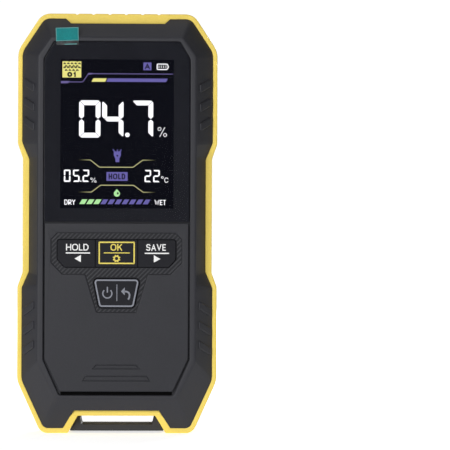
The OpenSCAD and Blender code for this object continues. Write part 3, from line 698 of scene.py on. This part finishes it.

# A near-black strip in the gap below the faceplate: painted shade, so the gap reads dark
gap_shade_strip = Solid().prism(both([(18.4, 13.26, 0.2), (18.5, 14.38, 0.2)]), POCKET_Y - 0.01, POCKET_Y - 0.05)
make("faceplate_gap_shade", gap_shade_strip, gap_shade_mat)

FLANGE_Z0, FLANGE_Z1 = 54.8, 65.4
right_cap = [(7.08, ROW_Z0, 0.2), *STRIP[:3], (7.08, ROW_Z1, 0.2)]
left_cap = [(-x, z, r) for x, z, r in reversed(right_cap)]
middle_cap = rect(-6.92, ROW_Z0, 6.92, ROW_Z1, 0.2)
for name, cap, x0, x1 in (("save", right_cap, 7.125, 20.3), ("hold", left_cap, -20.3, -7.125),
                          ("ok", middle_cap, -6.875, 6.875)):
    make(name + "_cap", key(cap, rect(x0, FLANGE_Z0, x1, FLANGE_Z1, 0.3)), key_mat, name + "_button",
         [name + "_key"])
make("power_cap", key(POWER, inset(POWER, -0.8), 0.15), key_mat, "power_button", ["power_key"])

# ---- drawn marks


def stroke(points, width, closed=False):
    """The two sides of a line of that width through points."""
    n = len(points)
    sides = []
    for s in (1, -1):
        side = []
        for i, p in enumerate(points):
            a = points[i - 1] if closed or i else p
            b = points[(i + 1) % n] if closed or i < n - 1 else p
            m = inward(a, p) if a != p else inward(p, b)
            k = inward(p, b) if b != p else m
            scale = s * width / 2 / max(0.3, 1 + m[0] * k[0] + m[1] * k[1])
            side.append((p[0] + (m[0] + k[0]) * scale, p[1] + (m[1] + k[1]) * scale))
        sides.append(side)
    return sides


class Marks(Solid):
    """Thin flat marks on a plane at depth y, raised towards the front, or the back where side is 1."""

    def __init__(self, y, thick=0.03, side=-1):
        super().__init__()
        self.y0, self.y1 = y, y + side * thick

    def area(self, points):
        self.sheet(points, self.y0, self.y1)

    def line(self, points, width, closed=False):
        left, right = stroke(points, width, closed)
        if closed:
            self.band(left, right)
        else:
            self.area(left + right[::-1])

    def band(self, outer, inner):
        """The area between two closed lines that have as many points."""
        rings = [self.ring(side, y) for y in (self.y0, self.y1) for side in (outer, inner)]
        for a, b in ((0, 1), (1, 3), (3, 2), (2, 0)):
            self.bridge(rings[a], rings[b])

    def block(self, x0, z0, x1, z1):
        self.area([(x0, z0), (x1, z0), (x1, z1), (x0, z1)])

    def dot(self, x, z, r, n=20):
        self.area(circle(x, z, r, n))

    def hoop(self, x, z, r, width, n=28):
        self.line(circle(x, z, r, n), width, True)


# Strokes of each letter in a box one wide and one high, and how wide some letters are against the rest
LETTERS = {
    "H": [[(0, 0), (0, 1)], [(1, 0), (1, 1)], [(0, 0.5), (1, 0.5)]],
    "O": "ring",
    "0": "ring",
    "1": [[(0.2, 0.8), (0.6, 1), (0.6, 0)]],
    "L": [[(0, 1), (0, 0), (1, 0)]],
    "D": [[(0, 0), (0, 1), (0.65, 1), (1, 0.72), (1, 0.28), (0.65, 0), (0, 0)]],
    "K": [[(0, 0), (0, 1)], [(0.95, 1), (0.1, 0.42)], [(0.4, 0.6), (0.95, 0)]],
    "S": [[(1, 0.85), (0.75, 1), (0.25, 1), (0, 0.8), (0.1, 0.58), (0.9, 0.42), (1, 0.2), (0.75, 0),
           (0.25, 0), (0, 0.15)]],
    "A": [[(0, 0), (0.5, 0.93), (1, 0)], [(0.3, 0.3), (0.7, 0.3)]],
    "V": [[(0, 1), (0.5, 0.07), (1, 1)]],
    "E": [[(1, 1), (0, 1), (0, 0), (1, 0)], [(0, 0.5), (0.85, 0.5)]],
    "R": [[(0, 0), (0, 1), (0.75, 1), (1, 0.85), (1, 0.62), (0.75, 0.48), (0, 0.48)], [(0.5, 0.48), (1, 0)]],
    "Y": [[(0, 1), (0.5, 0.48), (1, 1)], [(0.5, 0.5), (0.5, 0)]],
    "W": [[(0, 1), (0.25, 0.05), (0.5, 0.8), (0.75, 0.05), (1, 1)]],
    "T": [[(0, 1), (1, 1)], [(0.5, 1), (0.5, 0)]],
    "C": [[(1, 0.8), (0.75, 1), (0.25, 1), (0, 0.75), (0, 0.25), (0.25, 0), (0.75, 0), (1, 0.2)]],
}
BREADTH = {"O": 1.18, "L": 0.72, "E": 0.82, "V": 1.1, "A": 1.1, "W": 1.45, "T": 0.9, "1": 0.6}


def longer(line, by):
    """The line carried on by that much at both ends."""
    (a, b), (d, c) = line[:2], line[-2:]
    u, w = unit((a[0] - b[0], a[1] - b[1])), unit((c[0] - d[0], c[1] - d[1]))
    return [(a[0] + u[0] * by, a[1] + u[1] * by)] + line[1:-1] + [(c[0] + w[0] * by, c[1] + w[1] * by)]


def write(marks, text, x0, x1, z0, z1, weight):
    """Plain capital letters that fill the box; strokes that cross lie at their own heights."""
    top, step = marks.y1, 0.15 * (marks.y1 - marks.y0)
    gap = weight * 0.75
    total = sum(BREADTH.get(letter, 1) for letter in text)
    unit_w = (x1 - x0 - gap * (len(text) - 1)) / total
    h = z1 - z0 - weight
    x, z = x0 + weight / 2, z0 + weight / 2
    for i, letter in enumerate(text):
        if i:
            x += w + weight + gap
        w = unit_w * BREADTH.get(letter, 1) - weight
        lines = LETTERS[letter]
        if lines == "ring":
            outline = rect(x, z, x + w, z + h, min(w, h) * 0.42)
            marks.line(rounded(outline, 5), weight, True)
            continue
        for k, line in enumerate(lines):
            marks.y1 = top - step * k
            points = [(x + u * w, z + v * h) for u, v in line]
            if line[0] == line[-1]:
                marks.line(points[:-1], weight, True)
            else:
                marks.line(longer(points, weight / 2), weight)
    marks.y1 = top


SEGMENTS = {"0": "abcdef", "2": "abged", "4": "fgbc", "5": "afgcd", "7": "abc"}


def seven(marks, digit, x, z, w, h, s, gap, cut=0.35):
    """A seven-segment digit with mitred segments."""
    top, mid, g = z + h, z + h / 2, gap / 2
    parts = {
        "a": [(x + g + cut, top), (x + w - g - cut, top), (x + w - g - cut / 2, top - cut / 2),
              (x + w - s - g, top - s), (x + s + g, top - s), (x + g + cut / 2, top - cut / 2)],
        "g": [(x + s / 2 + g, mid), (x + s + g, mid + s / 2), (x + w - s - g, mid + s / 2),
              (x + w - s / 2 - g, mid), (x + w - s - g, mid - s / 2), (x + s + g, mid - s / 2)],
        "f": [(x, mid + s * 0.45 + g), (x + s * 0.5, mid + g), (x + s, mid + s * 0.45 + g),
              (x + s, top - s - g), (x + cut / 2, top - cut / 2 - g), (x, top - cut - g)],
    }
    parts["d"] = [(u, 2 * mid - v) for u, v in parts["a"]]
    parts["e"] = [(u, 2 * mid - v) for u, v in parts["f"]]
    parts["b"] = [(2 * x + w - u, v) for u, v in parts["f"]]
    parts["c"] = [(2 * x + w - u, 2 * mid - v) for u, v in parts["f"]]
    for name in SEGMENTS[digit]:
        marks.area(parts[name])


def percent(marks, x0, x1, z0, z1, weight):
    """A percent sign that fills the box."""
    w, h = x1 - x0, z1 - z0
    r = min(w, h) * 0.17
    marks.hoop(x0 + r + weight / 2, z1 - r - weight / 2, r, weight)
    marks.hoop(x1 - r - weight / 2, z0 + r + weight / 2, r, weight)
    marks.line([(x0 + w * 0.22, z0), (x0 + w * 0.78, z1)], weight)


def droplet(x, z0, z1, r, n=20):
    """A drop's outline: a round bottom of radius r and a point at the top."""
    cz = z0 + r
    lift = math.asin(min(1, r / (z1 - cz)))
    arc = [(x + r * math.cos(t), cz + r * math.sin(t)) for t in
           (lift - (math.pi + 2 * lift) * k / n for k in range(n + 1))]
    return [(x, z1)] + arc


# ---- display

make("cover_glass_piece", Solid().prism(both(GLASS), GLASS_Y, POCKET_Y - 0.16, 0.12), glass,
     replaces=["screen_lens"])

GROUND_Y = GLASS_Y - 0.004
UI_Y = GROUND_Y - 0.008
ground = Marks(GROUND_Y, GROUND_Y - UI_Y)
ground.block(-18.7, 75.0, 18.7, 124.2)
make("display_ground", ground, ui_black)

SCALE_X, SCALE_PITCH = -12.4, 2.33       # the slanted cells of the dry-to-wet scale
white, violet, fine, gold, sign_yellow, green, ink = (Marks(UI_Y, 0.02) for _ in range(7))
for digit, x in (("0", -12.55), ("4", -4.95), ("7", 4.85)):
    seven(white, digit, x, 98.35, 7.05, 12.3, 1.6, 0.2, 0.6)
white.dot(3.4, 99.3, 0.76)
percent(white, 13.4, 16.45, 98.7, 101.9, 0.18)
for digit, x in (("0", -17.5), ("5", -14.5), ("2", -11.35), ("2", 9.1), ("2", 11.95)):
    seven(white, digit, x, 83.7, 2.2, 4.05, 0.5, 0.06, 0.2)
white.dot(-11.9, 83.95, 0.22, 10)
percent(white, -8.75, -6.75, 83.5, 85.1, 0.15)
white.hoop(15.0, 85.3, 0.32, 0.15)
write(white, "C", 15.7, 16.95, 83.6, 85.2, 0.18)
write(white, "DRY", -17.3, -13.7, 76.15, 77.85, 0.24)
write(white, "WET", 12.5, 16.2, 76.15, 77.85, 0.24)
white.line(rounded([(13.15, 120.95, 0.35), (16.4, 120.95, 0.45), (16.9, 121.85, 0.3), (16.4, 122.75, 0.45),
                    (13.15, 122.75, 0.35)], 4), 0.3, True)
for i in range(4):
    white.area(rounded(rect(13.66 + i * 0.76, 121.4, 13.84 + i * 0.76, 122.3, 0.05), 2))

violet.block(8.6, 120.7, 11.25, 123.25)
violet.block(-3.45, 84.1, 3.52, 87.0)
violet.area([(-3.6, 116.8), (16.1, 116.8), (16.7, 117.95), (-3.1, 117.95)])
for i in range(10):
    x = SCALE_X + i * SCALE_PITCH
    marks, width, lean = (green, 1.75, 0.95) if i < 3 else (violet, 1.62, 0.93)
    marks.area([(x, 76.4), (x + width, 76.4), (x + width + lean, 77.95), (x + lean, 77.95)])
violet.area([(-0.5, 90.3), (0.75, 90.3), (0.75, 91.4), (1.3, 92.5), (1.2, 93.8), (-1.0, 93.8), (-1.1, 92.5),
             (-0.5, 91.4)])
for u, v in ((-1.37, -0.8), (0.12, 0.12), (1.45, 0.95)):
    violet.line([(u, 94.5), (v, 93.75)], 0.32)

fine.line([(-18.6, 116.7), (-11.4, 116.7), (-9.5, 119.45), (18.4, 119.45)], 0.24)
fine.area([(-18.6, 116.25), (-16.2, 116.25), (-15.7, 117.0), (-18.6, 117.0)])
fine.area([(-9.9, 119.15), (-8.5, 119.15), (-8.1, 119.7), (-9.5, 119.7)])

gold.line([(-12.7, 90.97), (-8.8, 90.97), (-5.8, 88.6), (5.3, 88.6), (8.5, 90.97), (12.7, 90.97)], 0.24)
gold.line([(-12.7, 80.36), (-8.4, 80.36), (-5.4, 82.65), (5.5, 82.65), (8.7, 80.36), (12.7, 80.36)], 0.24)

sign_yellow.block(-18.1, 118.15, -11.9, 123.5)
sign_yellow.area([(-8.5, 116.8), (-4.0, 116.8), (-3.45, 117.95), (-7.9, 117.95)])

green.area(droplet(0, 78.85, 81.4, 1.02))

ink.y0, ink.y1 = UI_Y - 0.02, UI_Y - 0.03
for row, z in enumerate((122.75, 121.9, 121.45, 120.55)):
    for k in range(5):
        x = -17.7 + k * 1.22 + (row % 2) * 0.5
        if x < -12.8:
            ink.line([(x, z - 0.16), (x + 0.25, z + 0.14), (x + 0.6, z + 0.02)], 0.42)
            ink.line([(x + 0.5, z), (x + 0.8, z - 0.2)], 0.24)
for x in (-15.9, -13.2):
    ink.area([(x - 0.25, 123.55), (x + 0.25, 123.55), (x, 123.15)])
write(ink, "01", -16.5, -13.5, 118.35, 120.0, 0.56)
write(ink, "A", 9.05, 10.8, 121.05, 122.9, 0.36)
write(ink, "HOLD", -2.75, 2.75, 84.6, 86.5, 0.38)
ink.dot(0.12, 92.4, 0.3, 10)
ink.area(droplet(0.3, 79.6, 80.5, 0.32, 10))

for name, marks, light_mat in (
        ("white", white, ui_white), ("violet", violet, ui_violet), ("fine_lines", fine, ui_line),
        ("brackets", gold, ui_gold), ("yellow", sign_yellow, ui_yellow), ("green", green, ui_green),
        ("ink", ink, ui_dark)):
    make("display_" + name, marks, light_mat)

# ---- key legends

LEGEND_THICK = 0.032
GEAR_Z = 58.45
POWER_SIGN = (-2.99, 46.9)


def legend(name, body, material, draw):
    marks = Marks(KEY_Y + LEGEND_THICK, LEGEND_THICK)
    draw(marks)
    make(name, marks, material, body)


def hold_marks(m):
    write(m, "HOLD", -16.65, -9.25, 61.05, 63.25, 0.34)
    m.block(-16.75, 60.05, -8.75, 60.45)
    m.area([(-13.85, 58.4), (-11.75, 57.2), (-11.75, 59.6)])


def save_marks(m):
    write(m, "SAVE", 9.75, 16.25, 61.05, 63.25, 0.34)
    m.block(9.3, 60.0, 17.3, 60.4)
    m.area([(14.45, 58.35), (12.3, 59.55), (12.3, 57.15)])


def ok_marks(m):
    write(m, "OK", -2.0, 1.85, 61.05, 63.25, 0.36)
    m.block(-4.25, 60.15, 4.35, 60.45)
    m.line(rounded(rect(-5.72, 56.85, 5.8, 63.8, 0.1)), 0.44, True)
    turns = [2 * math.pi * (k + 0.5) / 32 for k in range(32)]
    teeth = [1.28 if k % 4 in (1, 2) else 0.98 for k in range(32)]
    outer = [(r * math.cos(a), GEAR_Z + r * math.sin(a)) for r, a in zip(teeth, turns)]
    inner = [(0.56 * math.cos(a), GEAR_Z + 0.56 * math.sin(a)) for a in turns]
    m.band(outer, inner)


def power_marks(m):
    m.line(rounded(inset(POWER, 0.42)), 0.5, True)
    x, z = POWER_SIGN
    turns = [0.75 + (2 * math.pi - 1.5) * k / 20 for k in range(21)]
    m.line([(x + 1.5 * math.sin(a), z + 1.5 * math.cos(a)) for a in turns], 0.42)
    m.line([(x, 49.1), (x, 47.2)], 0.42)
    m.block(0.02, 44.4, 0.28, 49.9)
    m.area([(1.5, 47.6), (2.75, 46.3), (2.75, 48.95)])
    tail = [(2.6, 47.6), (3.4, 47.55), (4.05, 47.2), (4.35, 46.5), (4.25, 45.6), (3.85, 44.9)]
    m.line(tail, 0.55)


legend("hold_legend", "hold_button", white_print, hold_marks)
legend("save_legend", "save_button", white_print, save_marks)
legend("ok_legend", "ok_button", yellow_print, ok_marks)
legend("power_legend", "power_button", grey_print, power_marks)

# ---- film and its tab

film, tree, shader = surface("clear_film", Alpha=0.035, Specular_IOR_Level=0.1,
                             Base_Color=(0.05, 0.055, 0.06, 1))
noise, wear = add(tree, "TexNoise", Scale=60), add(tree, "MapRange", To_Min=0.02, To_Max=0.06)
tree.links.new(add(tree, "TexCoord").outputs["Object"], noise.inputs["Vector"])
tree.links.new(noise.outputs["Fac"], wear.inputs["Value"])
tree.links.new(wear.outputs["Result"], shader.inputs["Roughness"])
make("protective_film", Solid().prism(inset(both(GLASS), 0.4), GLASS_Y - 0.11, GLASS_Y - 0.08), film,
     replaces=["screen_film"])

teal = finish("teal_film", (0.003, 0.18, 0.185), spread=0.14, wide=260, bump=0.05, specular=0.15)
hem_mat = finish("hem_film", (0.026, 0.031, 0.034), rough=0.25, spread=0.5, wide=400, bump=0.1, specular=0.4)
# Light grey-teal for painted highlights along the tab's edges
tab_highlight_mat = finish("film_edge_highlight", (0.07, 0.25, 0.25), rough=0.45, spread=0.08, specular=0.3)

# Height and depth along the tab, from where it leaves the glass
TAB_RISE = [(128.8, -13.115), (129.5, -13.2), (130.2, -13.42), (131.2, -13.56), (132.6, -13.6),
            (134.8, -13.55)]


def tab_depth(x, z):
    """How far forward the bent tab lies."""
    for (z0, y0), (z1, y1) in zip(TAB_RISE, TAB_RISE[1:]):
        if z <= z1:
            break
    t = (z - z0) / (z1 - z0)
    return y0 + (y1 - y0) * t + 0.03 * math.sin((x + 20) * 0.7) * min(1, (z - 128.8) / 3)


def tab_strip(left, right, thick=0.06, lift=0.0):
    """A thin curved strip between two lines of (x, z) points."""
    solid = Solid()
    rings = []
    for i in range(9):
        points = lerp(left, right, i / 8)
        ring = [(x, tab_depth(x, z) - lift, z) for x, z in points]
        ring += [(x, tab_depth(x, z) - lift + thick, z) for x, z in reversed(points)]
        rings.append(solid.ring(ring))
    solid.loft(rings)
    for ring in (rings[0], rings[-1]):
        n = len(ring) // 2
        solid.f += [(ring[k], ring[k + 1], ring[-2 - k], ring[-1 - k]) for k in range(n - 1)]
    return solid


def column(x0, x1, z0, z1, n=6):
    """Evenly spaced (x, z) points from the bottom to the top."""
    return [(x0 + (x1 - x0) * k / n, z0 + (z1 - z0) * k / n) for k in range(n + 1)]


TAB_LEFT, TAB_RIGHT = column(-20.2, -20.35, 130.1, 134.5), column(-12.75, -12.85, 130.4, 134.75)
make("film_pull_tab", tab_strip(TAB_LEFT, TAB_RIGHT), teal, replaces=["film_tab"])
hem = tab_strip(column(-20.15, -20.2, 128.85, 130.1, 3), column(-12.7, -12.75, 128.95, 130.4, 3), 0.05)
make("film_tab_hem", hem, hem_mat)
# Thin light strips along the tab's sides, top and bottom, and one across the clear hem: painted highlights on
# its edges and a painted glint
highlight_strips = [tab_strip(left, right, 0.08, 0.015) for left, right in (
    (TAB_LEFT, column(-19.95, -20.1, 130.1, 134.5)),
    (column(-13.0, -13.1, 130.4, 134.75), TAB_RIGHT),
    (column(-20.34, -20.35, 134.25, 134.5, 1), column(-12.84, -12.85, 134.5, 134.75, 1)),
    (column(-20.2, -20.2, 130.1, 130.3, 1), column(-12.75, -12.75, 130.4, 130.6, 1)),
    (column(-17.5, -17.4, 129.0, 129.25, 1), column(-13.4, -13.3, 129.1, 129.4, 1)),
)]
make("film_tab_edge_highlights", join(*highlight_strips), tab_highlight_mat)

# ---- back

half = 19.3
plate = Solid().prism(rect(-half, SENSOR_Z - half, half, SENSOR_Z + half, 0.6), 12.5, BACK_Y - 0.01, 0, 0.3)
make("sensing_plate", plate, gloss, replaces=["sensor_cover"])

marks = Marks(BACK_Y - 0.012, 0.012, 1)
for sx in (-1, 1):
    for z, up in ((82.1, 1), (109.4, -1)):
        x = sx * 13.85
        marks.line([(x, z + up * 2.1), (x, z), (x - sx * 2.1, z)], 0.65)
drop = droplet(0, 92.4, 98.9, 2.0)
marks.line(drop, 0.55, True)
marks.area([(-1.75, 94.7), (-0.9, 95.0), (0, 94.75), (0.9, 94.4), (1.75, 94.7), (1.6, 93.7), (0.9, 92.9),
            (0, 92.65), (-0.9, 92.9), (-1.6, 93.7)])
make("sensing_marks", marks, cream_print)

for s, name, node in ((-1, "pad_a", "rear_pad_left"), (1, "pad_b", "rear_pad_right")):
    outline = rect(s * PAD_X - 4.375, LAMP_Z - 3.35, s * PAD_X + 4.375, LAMP_Z + 3.35, 1.1)
    make(name, Solid().prism(outline, 12.55, BACK_Y, 0, 0.35), pad_mat, replaces=[node])
make("pad_c", Solid().prism(both(LOWER_PAD), 12.55, BACK_Y, 0, 0.35), pad_mat,
     replaces=["rear_pad_lower"])

small = Marks(PLATEAU_Y - 0.004, 0.02, 1)
for x in (4.33, 0.3, -3.75):
    small.line(droplet(x, 65.35, 68.85, 1.2), 0.28, True)
    small.area([(x - 1.0, 66.75), (x - 0.4, 66.95), (x + 0.4, 66.55), (x + 1.0, 66.75), (x + 0.95, 66.1),
                (x + 0.5, 65.6), (x, 65.45), (x - 0.5, 65.6), (x - 0.95, 66.1)])
PRINT_LINES = [                          # left end, foot and word lengths of each line of print
    (18.1, 54.9, (9.0, 4.3, 4.6, 8.3, 5.4)), (17.6, 51.6, (7.4, 8.6)), (13.7, 47.3, (6.2,)),
    (13.7, 43.9, (9.6,)), (17.7, 39.7, (5.4, 2.4, 9.6)),
]
for x, z, words in PRINT_LINES:
    for w in words:
        small.block(x - w, z, x, z + 1.15)
        x -= w + 0.95
small.line([(17.5, 47.9), (14.5, 47.9)], 0.35)
small.hoop(16.0, 47.9, 0.8, 0.3)
small.block(17.5, 43.8, 14.8, 45.3)
make("back_marks", small, dim_print)

cup = [(2.62, 9.4), (5.2, 9.4), (6.4, 10.4), (6.4, 11.55), (5.4, 11.55), (5.4, 13.2), (5.25, 13.38),
       (4.98, 13.36), (4.7, 13.0), (3.6, 11.9), (2.75, 11.0), (2.62, 10.8)]
make("torch_cup", Solid().turned(cup, LAMP_Z), lamp_black, replaces=["lamp_bezel"])

lens = Solid()
dome = [(2.9, 6.9), (2.9, 7.55), (2.5, 7.6), (2.5, 10.1)]
dome += [(2.5 * math.cos(a), 10.1 + 2.5 * math.sin(a)) for a in (math.pi / 2 * k / 8 for k in range(1, 8))]
rings = [lens.ring(circle(0, LAMP_Z, r, 40), y) for r, y in dome]
lens.loft(rings)
lens.cap(rings[0])
lens.cap(rings[-1])
led = finish("lamp_clear", (0.15, 0.145, 0.08), rough=0.3, spread=0.35, wide=700, bump=0.02, coat=1.0)
make("torch_lens", lens, led, replaces=["lamp_led"])

# ---- pieces that keep their CAD shape

inner = {
    "tape": finish("tape", (0.05, 0.05, 0.05), rough=0.8, grain=900, bump=0.3),
    "display": finish("display_panel", (0.01, 0.01, 0.014), rough=0.15, bump=0.02),
    "white_plastic": finish("white_plastic", (0.72, 0.71, 0.66), rough=0.55, spread=0.04, bump=0.1),
    "polyimide": finish("polyimide", (0.5, 0.24, 0.04), rough=0.3, streak=(1, 8, 1)),
    "silicone": finish("silicone", (0.1, 0.1, 0.11), rough=0.7),
    "steel": finish("steel", (0.6, 0.6, 0.6), rough=0.3, metal=1.0, streak=(1, 1, 12), bump=0.08),
    "circuit_board": finish("circuit_board", (0.02, 0.12, 0.06), rough=0.35, coat=0.3),
    "chip_black": finish("chip_black", (0.02, 0.02, 0.02), rough=0.6, bump=0.3),
    "cell_foil": finish("cell_foil", (0.62, 0.63, 0.65), rough=0.32, metal=1.0, wide=160),
    "wire_sleeve": finish("wire_sleeve", (0.45, 0.02, 0.02), rough=0.45),
    "sensor_bead": finish("sensor_bead", (0.05, 0.07, 0.3), rough=0.25),
    "copper": finish("copper", (0.72, 0.35, 0.16), rough=0.3, metal=1.0, bump=0.05),
    # The screws are black steel; their near-black, dull finish also paints the shade at the bottom of the
    # screw wells
    "black_steel": finish("black_steel", (0.006, 0.006, 0.006), specular=0.2),
    "dark_plastic": bar_mat,
}
slots = {s["node"]: s["material_slot"] for s in frame["record"]["subparts"]}
for name, obj in nodes.items():
    if slots[name] in inner and not obj.hide_render:
        obj.data.materials.clear()
        obj.data.materials.append(inner[slots[name]])

# ---- studio

floor_solid = Solid()
floor_rings = [floor_solid.ring([(x, z, -0.01) for x, z in circle(0, 0, r, 64)]) for r in (120, 600, 6000)]
floor_solid.loft(floor_rings)
floor_solid.f.append(tuple(floor_rings[0]))
floor = thing(floor_solid, "studio_floor")
floor_mat, tree, shader = surface("floor", Base_Color=(0.85, 0.85, 0.85, 1), Roughness=0.9,
                                  Emission_Color=(1, 1, 1, 1))
reach = add(tree, "VectorMath")
reach.operation = "LENGTH"
tree.links.new(add(tree, "TexCoord").outputs["Object"], reach.inputs[0])
# How strongly the floor glows at a distance from the middle: seen directly, where it glows less near the
# middle as a painted contact shadow, and as light on the meter
seen_with_painted_shadow = add(tree, "MapRange", From_Min=0.03, From_Max=0.6, To_Min=0.66, To_Max=1.1)
bounce = add(tree, "MapRange", From_Min=0.06, From_Max=0.3, To_Min=0.6, To_Max=0.27)
gain = add(tree, "Mix")
tree.links.new(add(tree, "LightPath").outputs["Is Camera Ray"], gain.inputs["Factor"])
for glow, socket in ((bounce, "A"), (seen_with_painted_shadow, "B")):
    tree.links.new(reach.outputs["Value"], glow.inputs["Value"])
    tree.links.new(glow.outputs["Result"], gain.inputs[socket])
tree.links.new(gain.outputs["Result"], shader.inputs["Emission Strength"])
floor.data.materials.append(floor_mat)

world = bpy.data.worlds.new("studio")
bpy.context.scene.world = world
world.use_nodes = True
tree = world.node_tree
tree.nodes.clear()
mix = add(tree, "MixShader")
tree.links.new(add(tree, "LightPath").outputs["Is Camera Ray"], mix.inputs[0])
for i, strength in enumerate((0.12, 1.05), 1):
    sky = add(tree, "Background", Color=(1, 1, 1, 1), Strength=strength)
    tree.links.new(sky.outputs[0], mix.inputs[i])
tree.links.new(mix.outputs[0], add(tree, "OutputWorld").inputs[0])


def light(name, place, target, size, power):
    """A square soft light that faces the target."""
    data = bpy.data.lights.new(name, "AREA")
    data.size, data.energy = size, power
    obj = bpy.data.objects.new(name, data)
    bpy.context.scene.collection.objects.link(obj)
    obj.location = place
    obj.rotation_mode = "QUATERNION"
    obj.rotation_quaternion = (Vector(target) - Vector(place)).to_track_quat("-Z", "Y")


middle = (0, 0, 0.07)
light("key_left", (-0.36, -0.86, 0.29), middle, 0.5, 6.0)
light("back_key", (0.36, 0.86, 0.29), middle, 0.5, 6.0)
light("overhead", (0, 0, 1.0), middle, 0.8, 1.5)

CAMERA_DISTANCE = 0.7
PICTURE_WIDTH = 0.1516                   # what the picture takes in at the meter, in metres
camera_data = bpy.data.cameras.new("camera")
camera = bpy.data.objects.new("camera", camera_data)
bpy.context.scene.collection.objects.link(camera)
camera.location = (0.02, -CAMERA_DISTANCE, 0.06965)
camera.rotation_euler = (math.radians(90), math.radians(-0.22), math.radians(-1.315))
camera_data.sensor_width = 36
camera_data.lens = camera_data.sensor_width * CAMERA_DISTANCE / PICTURE_WIDTH
camera_data.clip_start, camera_data.clip_end = 0.05, 20
bpy.context.scene.camera = camera
bpy.context.scene.view_settings.view_transform = "Standard"
